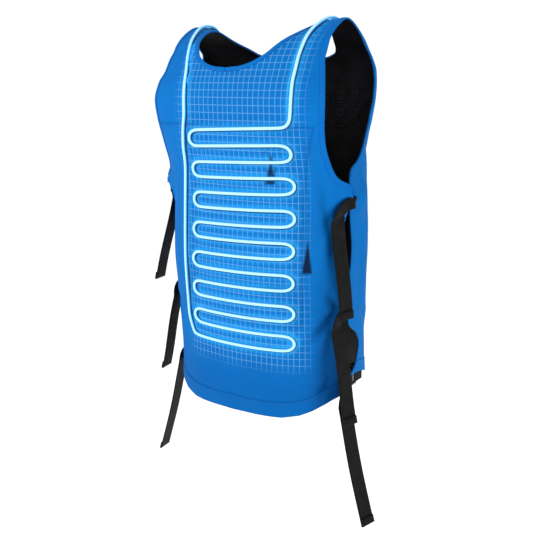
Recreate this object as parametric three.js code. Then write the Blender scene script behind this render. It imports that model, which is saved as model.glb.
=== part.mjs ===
// A sleeveless cooling vest, held as it hangs on a torso. Millimetres, +Z up, the wearer faces -Y,
// and the origin lies between the shoulders at the height of the shoulder ridge.
import * as THREE from 'three';

// Driving sizes of the garment
const backLength = 675;        // shoulder ridge to the middle of the back hem
const halfWidth = 190;         // half of the torso's width at the waist
const backDepth = 125;         // centre of the torso to the middle of the back
const frontDepth = 125;        // centre of the torso to the middle of the front
const clothWall = 1.6;         // outer cloth
const liningWall = 1.1;        // lining inside the front
const layerGap = 0.35;         // air between two layers that are sewn together
const crestRise = 3;           // how far the shoulder seam stands above the ridge line
const seamGap = 0.3;           // air in the shoulder seam
const bindingWidth = 8;        // tape round the armholes and the neck
const bindingWall = 0.9;
const hemBandWidth = 26;       // turned-up band along each hem
const hemBandWall = 0.8;
const pocketWall = 1.2;        // pocket on the back, and its flap
const tubeRadius = 3.4;        // coolant tube
const tubePitch = 26.8;        // height from one row of the tube to the next
const tubeRows = 15;
const tubeClearance = 1.1;     // under the tube, so that its straight steps clear the cloth
const webWidth = 32;           // side straps
const webWall = 1.6;
const buckleLength = 34;       // along the strap
const buckleHeight = 42;       // across the strap
const buckleWall = 5;
const buckleBar = 4;           // bars of its frame
const slotSpare = 1.4;         // room beside the strap in a slot
const strapGap = 0.4;          // air between a strap and what it lies against

// Mesh fineness
const innerColumns = 6;        // from the middle to the pocket's edge
const outerColumns = 5;        // from the pocket's edge to the panel's edge
const pocketTurn = 42;         // degrees round from the middle of the back
const tubeSides = 5;
const tubeRowSteps = 6;
const tubeBendSteps = 5;
const riserStep = 16;          // along the tube where it climbs to the shoulders
const turnStep = 0.02;         // radians, for a slope round a section
const slopeStep = 0.01;        // radians and share of drop, for a slope on the folded surface
const middleReach = 0.01;      // a point nearer the middle plane than this lies on it

const rad = THREE.MathUtils.degToRad;
const lerp = THREE.MathUtils.lerp;

// Torso sections. drop is a share of backLength, half a share of halfWidth, and depth a share of the
// panel's own depth. power is the exponent of the rounded section, 2 for an ellipse.
const backSections = [
  { drop: 0.000, half: 0.842, depth: 0.272, power: 2.0 },
  { drop: 0.015, half: 1.100, depth: 0.380, power: 2.0 },
  { drop: 0.030, half: 1.060, depth: 0.600, power: 2.0 },
  { drop: 0.044, half: 1.037, depth: 0.744, power: 2.0 },
  { drop: 0.067, half: 1.042, depth: 0.880, power: 2.0 },
  { drop: 0.089, half: 1.063, depth: 0.968, power: 2.1 },
  { drop: 0.119, half: 1.084, depth: 1.040, power: 2.2 },
  { drop: 0.148, half: 1.116, depth: 1.088, power: 2.5 },
  { drop: 0.193, half: 1.147, depth: 1.112, power: 2.7 },
  { drop: 0.237, half: 1.132, depth: 1.104, power: 2.6 },
  { drop: 0.296, half: 1.074, depth: 1.088, power: 2.4 },
  { drop: 0.370, half: 1.026, depth: 1.024, power: 2.2 },
  { drop: 0.444, half: 1.000, depth: 1.000, power: 2.2 },
  { drop: 0.593, half: 1.005, depth: 1.008, power: 2.2 },
  { drop: 0.741, half: 0.968, depth: 0.968, power: 2.2 },
  { drop: 0.889, half: 0.942, depth: 0.944, power: 2.2 },
  { drop: 1.007, half: 0.942, depth: 0.944, power: 2.2 },
];
const frontSections = [
  { drop: 0.000, half: 0.842, depth: 0.176, power: 2.6 },
  { drop: 0.015, half: 0.875, depth: 0.208, power: 3.2 },
  { drop: 0.030, half: 0.905, depth: 0.304, power: 3.6 },
  { drop: 0.044, half: 0.913, depth: 0.496, power: 3.6 },
  { drop: 0.067, half: 0.924, depth: 0.728, power: 3.6 },
  { drop: 0.089, half: 0.949, depth: 0.856, power: 3.6 },
  { drop: 0.119, half: 0.971, depth: 0.936, power: 3.6 },
  { drop: 0.148, half: 0.968, depth: 0.984, power: 3.6 },
  { drop: 0.193, half: 0.952, depth: 1.016, power: 3.6 },
  { drop: 0.237, half: 0.925, depth: 1.016, power: 3.6 },
  { drop: 0.296, half: 0.890, depth: 0.990, power: 3.4 },
  { drop: 0.370, half: 0.925, depth: 0.936, power: 2.9 },
  { drop: 0.444, half: 0.963, depth: 0.912, power: 2.6 },
  { drop: 0.593, half: 0.974, depth: 0.990, power: 2.6 },
  { drop: 0.741, half: 0.963, depth: 1.000, power: 2.6 },
  { drop: 0.815, half: 0.950, depth: 1.060, power: 2.6 },
  { drop: 0.889, half: 0.942, depth: 1.152, power: 2.6 },
  { drop: 0.970, half: 0.942, depth: 1.256, power: 2.6 },
  { drop: 1.007, half: 0.942, depth: 1.270, power: 2.6 },
];

// Rows of the back panel from the hem to the ridge. midDrop and sideDrop are shares of backLength.
// neck is the neckline's reach and arm the armhole's, shares of halfWidth. side is where the side
// edge stands behind the torso's centre line, a share of backDepth.
const backRows = [
  { midDrop: 0.9985, neck: 0, sideDrop: 0.944, side: 0.200 },
  { midDrop: 0.930, neck: 0, sideDrop: 0.889, side: 0.290 },
  { midDrop: 0.850, neck: 0, sideDrop: 0.822, side: 0.350 },
  { midDrop: 0.756, neck: 0, sideDrop: 0.741, side: 0.320 },
  { midDrop: 0.676, neck: 0, sideDrop: 0.667, side: 0.380 },
  { midDrop: 0.514, neck: 0, sideDrop: 0.511, side: 0.390 },
  { midDrop: 0.456, neck: 0, sideDrop: 0.452, side: 0.345 },
  { midDrop: 0.424, neck: 0, sideDrop: 0.415, side: 0.300 },
  { midDrop: 0.400, neck: 0, sideDrop: 0.400, arm: 0.984 },
  { midDrop: 0.366, neck: 0, sideDrop: 0.370, arm: 0.918 },
  { midDrop: 0.317, neck: 0, sideDrop: 0.326, arm: 0.887 },
  { midDrop: 0.273, neck: 0, sideDrop: 0.281, arm: 0.882 },
  { midDrop: 0.2489, neck: 0, sideDrop: 0.244, arm: 0.893 },
  { midDrop: 0.190, neck: 0, sideDrop: 0.193, arm: 0.906 },
  { midDrop: 0.127, neck: 0, sideDrop: 0.130, arm: 0.863 },
  { midDrop: 0.112, neck: 0, sideDrop: 0.117, arm: 0.850 },
  { midDrop: 0.1095, neck: 0.116, sideDrop: 0.107, arm: 0.840 },
  { midDrop: 0.1030, neck: 0.211, sideDrop: 0.098, arm: 0.832 },
  { midDrop: 0.0896, neck: 0.305, sideDrop: 0.087, arm: 0.826 },
  { midDrop: 0.074, neck: 0.372, sideDrop: 0.073, arm: 0.821 },
  { midDrop: 0.059, neck: 0.416, sideDrop: 0.059, arm: 0.818 },
  { midDrop: 0.044, neck: 0.464, sideDrop: 0.044, arm: 0.814 },
  { midDrop: 0.030, neck: 0.508, sideDrop: 0.030, arm: 0.815 },
  { midDrop: 0.015, neck: 0.558, sideDrop: 0.015, arm: 0.818 },
  { midDrop: 0.000, neck: 0.593, sideDrop: 0.000, arm: 0.810 },
];

// Rows of the front panel. arm and side both say how far in front of the torso's centre line the edge
// stands, a share of frontDepth, and a negative one lies behind that line.
const frontRows = [
  { midDrop: 0.984, neck: 0, sideDrop: 0.938, side: -0.060 },
  { midDrop: 0.930, neck: 0, sideDrop: 0.892, side: 0.136 },
  { midDrop: 0.876, neck: 0, sideDrop: 0.843, side: 0.184 },
  { midDrop: 0.812, neck: 0, sideDrop: 0.794, side: 0.040 },
  { midDrop: 0.762, neck: 0, sideDrop: 0.750, side: -0.200 },
  { midDrop: 0.690, neck: 0, sideDrop: 0.681, side: -0.250 },
  { midDrop: 0.558, neck: 0, sideDrop: 0.557, side: -0.185 },
  { midDrop: 0.452, neck: 0, sideDrop: 0.456, side: -0.225 },
  { midDrop: 0.364, neck: 0, sideDrop: 0.366, side: -0.150 },
  { midDrop: 0.340, neck: 0, sideDrop: 0.341, side: 0.080 },
  { midDrop: 0.281, neck: 0, sideDrop: 0.281, side: 0.400 },
  { midDrop: 0.222, neck: 0, sideDrop: 0.222, side: 0.408 },
  { midDrop: 0.193, neck: 0, sideDrop: 0.193, side: 0.432 },
  { midDrop: 0.138, neck: 0, sideDrop: 0.139, side: 0.410 },
  { midDrop: 0.1155, neck: 0, sideDrop: 0.122, side: 0.380 },
  { midDrop: 0.1130, neck: 0.126, sideDrop: 0.112, side: 0.368 },
  { midDrop: 0.1070, neck: 0.221, sideDrop: 0.103, side: 0.360 },
  { midDrop: 0.0970, neck: 0.305, sideDrop: 0.094, side: 0.352 },
  { midDrop: 0.0860, neck: 0.363, sideDrop: 0.084, side: 0.344 },
  { midDrop: 0.074, neck: 0.424, sideDrop: 0.074, side: 0.320 },
  { midDrop: 0.059, neck: 0.475, sideDrop: 0.059, side: 0.230 },
  { midDrop: 0.044, neck: 0.519, sideDrop: 0.044, side: 0.150 },
  { midDrop: 0.030, neck: 0.555, sideDrop: 0.030, side: 0.120 },
  { midDrop: 0.015, neck: 0.590, sideDrop: 0.015, side: 0.095 },
  { midDrop: 0.000, neck: 0.593, sideDrop: 0.000, side: 0.075 },
];

// Dents and folds of the back. turn is in degrees from the middle and drop a share of backLength.
// long and wide are shares of halfWidth, lean turns the fold in degrees from upright, and rise is a
// share of backDepth, negative for a valley.
const backFolds = [
  { turn: 72, drop: 0.415, long: 0.140, wide: 0.140, lean: 0, rise: 0.105 },
  { turn: 58, drop: 0.475, long: 0.330, wide: 0.060, lean: 14, rise: -0.040 },
  { turn: 60, drop: 0.735, long: 0.260, wide: 0.055, lean: -48, rise: -0.045 },
  { turn: 64, drop: 0.905, long: 0.160, wide: 0.080, lean: 8, rise: -0.030 },
];
const frontFolds = [
  { turn: 84, drop: 0.415, long: 0.200, wide: 0.060, lean: 20, rise: 0.025 },
  { turn: 78, drop: 0.600, long: 0.420, wide: 0.060, lean: 0, rise: -0.025 },
];

// The tube on the back: reach from the middle as a share of halfWidth, and drop as a share of
// backLength. Its rows end a little further out or in from the first to the last.
const tubeTop = 0.2567;        // first row
const tubeRowEnds = {
  right: { first: 0.574, last: 0.553 },
  left: { first: 0.345, last: 0.433 },
};
const rightRiser = [
  { drop: 0.003, reach: 0.680 }, { drop: 0.018, reach: 0.660 }, { drop: 0.044, reach: 0.640 },
  { drop: 0.073, reach: 0.634 }, { drop: 0.119, reach: 0.640 }, { drop: 0.185, reach: 0.654 },
  { drop: 0.235, reach: 0.645 },
];
const leftRiser = [
  { drop: 0.003, reach: 0.680 }, { drop: 0.016, reach: 0.640 }, { drop: 0.040, reach: 0.575 },
  { drop: 0.066, reach: 0.530 }, { drop: 0.100, reach: 0.480 }, { drop: 0.141, reach: 0.450 },
  { drop: 0.190, reach: 0.445 }, { drop: 0.290, reach: 0.495 }, { drop: 0.450, reach: 0.555 },
  { drop: 0.580, reach: 0.562 }, { drop: 0.670, reach: 0.560 }, { drop: 0.780, reach: 0.552 },
];
const tubeFrontDrops = [0.004, 0.018, 0.038, 0.070];

// Straps at each side. drop is the height where the strap comes out between the panels, and right and
// left are the heights where its two tails end, shares of backLength too. buckle is how far behind the
// torso's centre line the buckle's middle lies, a share of backDepth. hang is how far out the tail
// starts to hang, a share of halfWidth, and spread is how far it swings out for each millimetre that
// it falls.
const strapRows = [
  { name: 'upper', drop: 0.432, buckle: 0.095, right: 0.722, left: 0.702, hang: 0.955, spread: 0.13 },
  { name: 'middle', drop: 0.718, buckle: 0.085, right: 1.003, left: 0.972, hang: 0.965, spread: 0.15 },
  { name: 'lower', drop: 0.922, buckle: -0.240, right: 1.290, left: 1.248, hang: 0.980, spread: 0.21 },
];

// Smooth curve through a table's column, without overshoot between its rows
function curveThrough(rows, column) {
  const x = rows.map((row) => row.drop);
  const y = rows.map((row) => row[column]);
  const slope = x.slice(1).map((value, i) => (y[i + 1] - y[i]) / (value - x[i]));
  const tangent = x.map((value, i) => {
    if (i === 0) return slope[0];
    if (i === x.length - 1) return slope[i - 1];
    if (slope[i - 1] * slope[i] <= 0) return 0;
    return 2 * slope[i - 1] * slope[i] / (slope[i - 1] + slope[i]);
  });
  return (drop) => {
    const at = Math.min(Math.max(drop, x[0]), x[x.length - 1]);
    let i = 0;
    while (i < x.length - 2 && at > x[i + 1]) i += 1;
    const step = x[i + 1] - x[i];
    const t = (at - x[i]) / step;
    const a = 2 * t ** 3 - 3 * t ** 2 + 1;
    const b = t ** 3 - 2 * t ** 2 + t;
    const c = 3 * t ** 2 - 2 * t ** 3;
    const d = t ** 3 - t ** 2;
    return a * y[i] + b * step * tangent[i] + c * y[i + 1] + d * step * tangent[i + 1];
  };
}

// One face of the torso: facing is 1 for the back and -1 for the front
class Torso {
  constructor(rows, depth, facing, folds) {
    this.half = curveThrough(rows, 'half');
    this.depthShare = curveThrough(rows, 'depth');
    this.power = curveThrough(rows, 'power');
    this.depth = depth;
    this.facing = facing;
    this.folds = folds;
  }

  // The angle from the middle at which the section reaches x to the side
  turnAtReach(reach, drop) {
    const share = Math.min(reach / (halfWidth * this.half(drop)), 1);
    return Math.asin(share ** (this.power(drop) / 2));
  }

  // The angle at which the section stands out by a share of its own depth, past the side if negative
  turnAtStand(stand, drop) {
    const share = Math.abs(stand) / this.depthShare(drop);
    const turn = Math.acos(Math.min(share, 1) ** (this.power(drop) / 2));
    return stand < 0 ? Math.PI - turn : turn;
  }

  plain(turn, drop) {
    const power = this.power(drop);
    const across = Math.abs(Math.sin(turn)) ** (2 / power);
    const out = Math.sign(Math.cos(turn)) * Math.abs(Math.cos(turn)) ** (2 / power);
    return new THREE.Vector3(
      halfWidth * this.half(drop) * across,
      this.facing * this.depth * this.depthShare(drop) * out,
      -backLength * drop,
    );
  }

  foldHeight(turn, drop) {
    let height = 0;
    for (const fold of this.folds) {
      const across = (turn - rad(fold.turn)) * halfWidth;
      const down = (drop - fold.drop) * backLength;
      const lean = rad(fold.lean);
      const along = down * Math.cos(lean) + across * Math.sin(lean);
      const aside = across * Math.cos(lean) - down * Math.sin(lean);
      const spread = (along / (fold.long * halfWidth)) ** 2 + (aside / (fold.wide * halfWidth)) ** 2;
      height += fold.rise * this.depth * Math.exp(-spread);
    }
    return height;
  }

  // Unit vector straight out of the section, without its folds
  outward(turn, drop) {
    const a = this.plain(turn - turnStep, drop);
    const b = this.plain(turn + turnStep, drop);
    const along = b.sub(a);
    const out = new THREE.Vector3(-along.y, along.x, 0).multiplyScalar(this.facing);
    return out.normalize();
  }

  point(turn, drop, lift = 0) {
    const out = this.outward(turn, drop);
    return this.plain(turn, drop).addScaledVector(out, this.foldHeight(turn, drop) + lift);
  }

  // A point that is lifted square to the surface, for what lies on a slope such as the shoulder
  above(turn, drop, lift) {
    const around = this.point(turn + slopeStep, drop).sub(this.point(turn - slopeStep, drop));
    const above = Math.max(drop - slopeStep, 0);
    const down = this.point(turn, drop + slopeStep).sub(this.point(turn, above));
    const out = around.cross(down).multiplyScalar(this.facing).normalize();
    return this.point(turn, drop).addScaledVector(out, lift);
  }
}

const back = new Torso(backSections, backDepth, 1, backFolds);
const front = new Torso(frontSections, frontDepth, -1, frontFolds);

// How far along a row the height has gone from the middle's to the side's
function sideShare(share) {
  const start = 0.3;
  const bend = 1.7;
  return share < start ? 0 : ((share - start) / (1 - start)) ** bend;
}

// Above the pocket its columns draw in a little, since the panel is narrower there
const shoulderDrop = 0.227;
const narrowing = 0.9;

// Half of a panel, from the middle or the neckline to its outer edge, one list of points for each row
function halfPanel(torso, rows) {
  const columns = innerColumns + outerColumns;
  return rows.map((row) => {
    const start = row.neck ? torso.turnAtReach(row.neck * halfWidth, row.midDrop) : 0;
    const end = row.arm
      ? torso.turnAtReach(row.arm * halfWidth, row.sideDrop)
      : torso.turnAtStand(row.side, row.sideDrop);
    const fixed = rad(pocketTurn);
    const split = start + (end - start) * innerColumns / columns;
    const middle = row.midDrop < shoulderDrop ? Math.max(fixed * narrowing, split) : fixed;
    return Array.from({ length: columns + 1 }, (unused, j) => {
      const inside = j <= innerColumns;
      const turn = inside
        ? lerp(start, middle, j / innerColumns)
        : lerp(middle, end, (j - innerColumns) / outerColumns);
      const share = inside ? 0 : sideShare((j - innerColumns) / outerColumns);
      return torso.point(turn, lerp(row.midDrop, row.sideDrop, share));
    });
  });
}

// Adds the shoulder seam, midway between the two panels' last rows
function addSeam(backGrid, frontGrid) {
  const backTop = backGrid[backGrid.length - 1];
  const frontTop = frontGrid[frontGrid.length - 1];
  const seam = backTop.map((point, j) => {
    const middle = point.clone().lerp(frontTop[j], 0.5);
    middle.z += crestRise;
    return middle;
  });
  backGrid.push(seam.map((point) => point.clone().add(new THREE.Vector3(0, seamGap / 2, 0))));
  frontGrid.push(seam.map((point) => point.clone().sub(new THREE.Vector3(0, seamGap / 2, 0))));
}

// Unit vectors out of a grid of points, from its neighbours along and across
function gridNormals(grid, facing) {
  return grid.map((row, k) => row.map((point, j) => {
    const up = grid[Math.min(k + 1, grid.length - 1)][j].clone().sub(grid[Math.max(k - 1, 0)][j]);
    const across = row[Math.min(j + 1, row.length - 1)].clone().sub(row[Math.max(j - 1, 0)]);
    const normal = up.cross(across).multiplyScalar(facing);
    if (point.x < middleReach) normal.x = 0;
    return normal.normalize();
  }));
}

// A thin skin of points with a normal each, which becomes a closed wall of even thickness
class Skin {
  constructor() {
    this.points = [];
    this.normals = [];
    this.faces = [];
    this.found = new Map();
  }

  vertex(point, normal) {
    const key = point.toArray().map((value) => Math.round(value * 1000)).join(' ');
    if (!this.found.has(key)) {
      this.found.set(key, this.points.length);
      this.points.push(point);
      this.normals.push(normal);
    }
    return this.found.get(key);
  }

  face(a, b, c) {
    const p = this.points[a];
    const cross = this.points[b].clone().sub(p).cross(this.points[c].clone().sub(p));
    const out = this.normals[a].clone().add(this.normals[b]).add(this.normals[c]);
    this.faces.push(cross.dot(out) > 0 ? [a, b, c] : [a, c, b]);
  }

  // Adds the part of a facet whose corners aren't past the limit
  clipped(corners) {
    const kept = [];
    corners.forEach((from, i) => {
      const to = corners[(i + 1) % corners.length];
      if (from.past <= 0) kept.push(from);
      if (from.past * to.past >= 0) return;
      const [low, high] = from.past < 0 ? [from, to] : [to, from];
      const share = low.past / (low.past - high.past);
      kept.push({
        point: low.point.clone().lerp(high.point, share),
        normal: low.normal.clone().lerp(high.normal, share),
      });
    });
    if (kept.length < 3) return;
    const ids = kept.map(({ point, normal }) => this.vertex(point, normal));
    for (let i = 1; i + 1 < ids.length; i += 1) this.face(ids[0], ids[i], ids[i + 1]);
  }

  // Adds a grid's facets as far as past() is negative, so that what is cut lies on the same facets
  grid(points, normals, side = 1, past = () => -1) {
    const turned = (v) => new THREE.Vector3(side * v.x, v.y, v.z);
    const corner = (k, j) => ({
      point: turned(points[k][j]), normal: turned(normals[k][j]), past: past(points[k][j]),
    });
    for (let k = 0; k + 1 < points.length; k += 1) {
      for (let j = 0; j + 1 < points[k].length; j += 1) {
        const [a, b, c, d] = [corner(k, j), corner(k, j + 1), corner(k + 1, j + 1), corner(k + 1, j)];
        this.clipped([a, b, c]);
        this.clipped([a, c, d]);
      }
    }
    return this;
  }

  // The wall between two heights over the skin
  wall(low, high) {
    const count = this.points.length;
    const layer = (height) => this.points.flatMap((point, i) => (
      point.clone().addScaledVector(this.normals[i], height).toArray()
    ));
    const index = [];
    const open = new Map();
    for (const [a, b, c] of this.faces) {
      index.push(a, b, c, count + a, count + c, count + b);
      for (const [from, to] of [[a, b], [b, c], [c, a]]) {
        if (!open.delete(`${to} ${from}`)) open.set(`${from} ${to}`, [from, to]);
      }
    }
    for (const [from, to] of open.values()) {
      index.push(to, from, count + from, to, count + from, count + to);
    }
    const geometry = new THREE.BufferGeometry();
    geometry.setAttribute('position', new THREE.Float32BufferAttribute([...layer(high), ...layer(low)], 3));
    geometry.setIndex(index);
    geometry.computeVertexNormals();
    return geometry;
  }
}

const backGrid = halfPanel(back, backRows);
const frontGrid = halfPanel(front, frontRows);
addSeam(backGrid, frontGrid);
const backNormals = gridNormals(backGrid, 1);
const frontNormals = gridNormals(frontGrid, -1);

// The two rims of the shoulder seam stay parallel, so that its gap is even through the cloth
backNormals[backNormals.length - 1].forEach((normal, j) => {
  const other = frontNormals[frontNormals.length - 1][j];
  normal.add(other).setY(0).normalize();
  other.copy(normal);
});

const finish = (color, roughness, metalness = 0) => (
  new THREE.MeshStandardMaterial({ color, roughness, metalness })
);
const blueCloth = finish(0x1676d0, 0.8);
const darkBlueCloth = finish(0x1263b4, 0.8);
const blackLining = finish(0x121215, 0.9);
const blackWebbing = finish(0x242425, 0.85);
const blackPlastic = finish(0x1a1a1c, 0.4);
const paleTube = finish(0xbdf4ff, 0.3);

const vest = new THREE.Group();

function addPiece(name, geometry, material) {
  const mesh = new THREE.Mesh(geometry, material);
  mesh.name = name;
  vest.add(mesh);
  return mesh;
}

function bothSides(points, normals) {
  return new Skin().grid(points, normals, 1).grid(points, normals, -1);
}

// Panels and the lining of the front
function addPanels() {
  addPiece('back_panel', bothSides(backGrid, backNormals).wall(-clothWall, 0), blueCloth);
  addPiece('front_panel', bothSides(frontGrid, frontNormals).wall(-clothWall, 0), blueCloth);
  const outer = -clothWall - layerGap;
  addPiece('front_lining', bothSides(frontGrid, frontNormals).wall(outer - liningWall, outer), blackLining);
}

// How far a point lies past a band of a given width along an edge
function pastBand(edge, width) {
  const nearest = new THREE.Vector3();
  return (point) => {
    let distance = Infinity;
    for (let i = 0; i + 1 < edge.length; i += 1) {
      new THREE.Line3(edge[i], edge[i + 1]).closestPointToPoint(point, true, nearest);
      distance = Math.min(distance, nearest.distanceTo(point));
    }
    return distance - width;
  };
}

const last = (list) => list[list.length - 1];

// The front's rows with the back's seam row, so that a tape can run over the shoulder in one piece
const frontToSeam = {
  grid: [...frontGrid.slice(0, -1), last(backGrid)],
  normals: [...frontNormals.slice(0, -1), last(backNormals)],
};

// Tapes along the armholes and the neckline, lying on the outside of the cloth
function addBindings() {
  const lift = layerGap + bindingWall;
  const backArm = backRows.findIndex((row) => row.arm) - 1;
  const frontArm = frontRows.findIndex((row) => row.sideDrop < backRows[backArm + 2].sideDrop);
  const rim = [...backGrid.slice(backArm), ...frontGrid.slice(frontArm).reverse()].map(last);
  const pastRim = pastBand(rim, bindingWidth);
  for (const [name, side] of [['right', -1], ['left', 1]]) {
    const skin = new Skin();
    skin.grid(backGrid.slice(backArm), backNormals.slice(backArm), side, pastRim);
    skin.grid(frontToSeam.grid.slice(frontArm), frontToSeam.normals.slice(frontArm), side, pastRim);
    addPiece(`armhole_binding_${name}`, skin.wall(layerGap, lift), darkBlueCloth);
  }
  const backNeck = backRows.findIndex((row) => row.neck) - 1;
  const frontNeck = frontRows.findIndex((row) => row.neck) - 1;
  const neckline = [...backGrid.slice(backNeck), ...frontGrid.slice(frontNeck).reverse()].map((row) => row[0]);
  const pastNeckline = pastBand(neckline, bindingWidth);
  const neck = new Skin();
  for (const side of [1, -1]) {
    neck.grid(backGrid.slice(backNeck - 2), backNormals.slice(backNeck - 2), side, pastNeckline);
    const { grid, normals } = frontToSeam;
    neck.grid(grid.slice(frontNeck - 2), normals.slice(frontNeck - 2), side, pastNeckline);
  }
  addPiece('neck_binding', neck.wall(layerGap, lift), darkBlueCloth);
}

// Bands along the hems, on the outside
function addHems() {
  const panels = [['back', backGrid, backNormals], ['front', frontGrid, frontNormals]];
  for (const [name, grid, normals] of panels) {
    const pastHem = pastBand(grid[0], hemBandWidth);
    const skin = new Skin();
    for (const side of [1, -1]) skin.grid(grid.slice(0, 2), normals.slice(0, 2), side, pastHem);
    addPiece(`hem_band_${name}`, skin.wall(layerGap, layerGap + hemBandWall), blueCloth);
  }
}

// Pocket on the back with cut top corners, and its flap, on the rows and columns of the panel
const pocketLow = 0.756;       // drops of its bottom, of its top and of the flap's lower edge
const pocketHigh = 0.2489;
const flapLow = 0.317;
const pocketFirst = backRows.findIndex((row) => row.midDrop === pocketLow);
const pocketLast = backRows.findIndex((row) => row.midDrop === pocketHigh);
const flapFirst = backRows.findIndex((row) => row.midDrop === flapLow);
const flapColumns = 3;
const flapWall = 0.8;
const cornerCut = 17;          // length of the cut across a top corner
const cornerLean = 60;         // its angle from level
function addPocket() {
  const corner = backGrid[pocketLast][innerColumns];
  const lean = rad(cornerLean);
  const pastCorner = (point) => (
    (point.x - corner.x) * Math.sin(lean) + (point.z - corner.z) * Math.cos(lean)
    + cornerCut * Math.sin(lean) * Math.cos(lean)
  );
  const patch = (from, columns, past) => {
    const part = (rows) => rows.slice(from, pocketLast + 1).map((row) => row.slice(0, columns + 1));
    const skin = new Skin();
    for (const side of [1, -1]) skin.grid(part(backGrid), part(backNormals), side, past);
    return skin;
  };
  const top = layerGap + pocketWall;
  addPiece('back_pocket', patch(pocketFirst, innerColumns, pastCorner).wall(layerGap, top), blueCloth);
  const flap = patch(flapFirst, flapColumns).wall(top + layerGap, top + layerGap + flapWall);
  addPiece('pocket_flap', flap, blueCloth);
}

// A path through given stations, so that a bend can have shorter steps than a straight run
class Stations extends THREE.Curve {
  constructor(points) {
    super();
    this.stations = points;
  }

  getPoint(t, target = new THREE.Vector3()) {
    const at = Math.min(t, 1) * (this.stations.length - 1);
    const i = Math.min(Math.floor(at), this.stations.length - 2);
    return target.lerpVectors(this.stations[i], this.stations[i + 1], at - i);
  }

  getPointAt(t, target) {
    return this.getPoint(t, target);
  }

  getTangentAt(t, target = new THREE.Vector3()) {
    const i = Math.round(t * (this.stations.length - 1));
    const before = this.stations[Math.max(i - 1, 0)];
    const after = this.stations[Math.min(i + 1, this.stations.length - 1)];
    return target.subVectors(after, before).normalize();
  }
}

// More room under the tube on the front of the shoulder, where the cloth bends sharply
const shoulderSpare = 3;

// A riser from the ridge down, as pairs of reach and drop in millimetres
function riserRoute(rows) {
  const reach = curveThrough(rows, 'reach');
  const [from, to] = [rows[0].drop, last(rows).drop];
  const steps = Math.round((to - from) * backLength / riserStep);
  return Array.from({ length: steps + 1 }, (unused, i) => {
    const drop = lerp(from, to, i / steps);
    return [reach(drop) * halfWidth, drop * backLength];
  });
}

// The route on the back as pairs of signed reach and drop, both in millimetres
function tubeRoute() {
  const bend = tubePitch / 2;
  const top = tubeTop * backLength;
  const rowEnd = ({ first, last: final }, k) => lerp(first, final, k / (tubeRows - 1)) * halfWidth;
  const right = (k) => rowEnd(tubeRowEnds.right, k);
  const left = (k) => -rowEnd(tubeRowEnds.left, k);
  const route = riserRoute(rightRiser);
  const corner = (x, z, from, to) => {
    for (let i = 1; i < tubeBendSteps; i += 1) {
      const angle = rad(lerp(from, to, i / tubeBendSteps));
      route.push([x + bend * Math.cos(angle), z + bend * Math.sin(angle)]);
    }
  };
  corner(right(0), top - bend, 0, 90);
  for (let k = 0; k < tubeRows; k += 1) {
    const z = top + k * tubePitch;
    const [from, to] = k % 2 ? [left(k), right(k)] : [right(k), left(k)];
    for (let i = 0; i <= tubeRowSteps; i += 1) route.push([lerp(from, to, i / tubeRowSteps), z]);
    if (k === tubeRows - 1) break;
    if (k % 2) corner(right(k), z + bend, -90, 90);
    else corner(left(k), z + bend, 270, 90);
  }
  const lowest = top + (tubeRows - 1) * tubePitch;
  corner(left(tubeRows - 1) - bend / 2, lowest - bend, 90, 180);
  for (const [reach, drop] of riserRoute(leftRiser).reverse()) route.push([-reach, drop]);
  return route;
}

// Height of the layers that lie under the tube at a place on the back
const pocketSpare = 9;         // how far round the pocket the tube already keeps its height
function layersUnder(turn, z) {
  const reaches = (drop) => z > -drop * backLength - pocketSpare;
  const beside = Math.abs(turn) > rad(pocketTurn) + pocketSpare / halfWidth;
  if (beside || !reaches(pocketLow) || z > -pocketHigh * backLength + pocketSpare) return 0;
  return layerGap + pocketWall + (reaches(flapLow) ? layerGap + flapWall : 0);
}

function addTube() {
  const lift = tubeRadius + tubeClearance;
  const onBack = tubeRoute().map(([x, down]) => {
    const drop = down / backLength;
    const turn = back.turnAtReach(Math.abs(x), drop);
    const point = back.above(turn, drop, lift + layersUnder(turn, -down));
    point.x *= -Math.sign(x);
    return point;
  });
  const overShoulder = (riser, side) => {
    const reach = riser[0].reach * halfWidth;
    const crest = new THREE.Vector3(side * reach, 0, crestRise + lift + shoulderSpare);
    const down = tubeFrontDrops.map((drop) => {
      const point = front.above(front.turnAtReach(reach, drop), drop, lift + shoulderSpare);
      point.x *= side;
      return point;
    });
    return [crest, ...down];
  };
  const stations = [...overShoulder(rightRiser, -1).reverse(), ...onBack, ...overShoulder(leftRiser, 1)];
  const section = new THREE.Shape(Array.from({ length: tubeSides }, (unused, i) => {
    const angle = i * 2 * Math.PI / tubeSides;
    return new THREE.Vector2(tubeRadius * Math.cos(angle), tubeRadius * Math.sin(angle));
  }));
  const options = { steps: stations.length - 1, bevelEnabled: false, extrudePath: new Stations(stations) };
  addPiece('cooling_tube', new THREE.ExtrudeGeometry(section, options), paleTube);
}

// The point of a panel's side edge at a height
function edgeAt(grid, z) {
  const edge = grid.map(last);
  const next = Math.max(edge.findIndex((point) => point.z > z), 1);
  const [low, high] = [edge[next - 1], edge[next]];
  return low.clone().lerp(high, (z - low.z) / (high.z - low.z));
}

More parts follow.
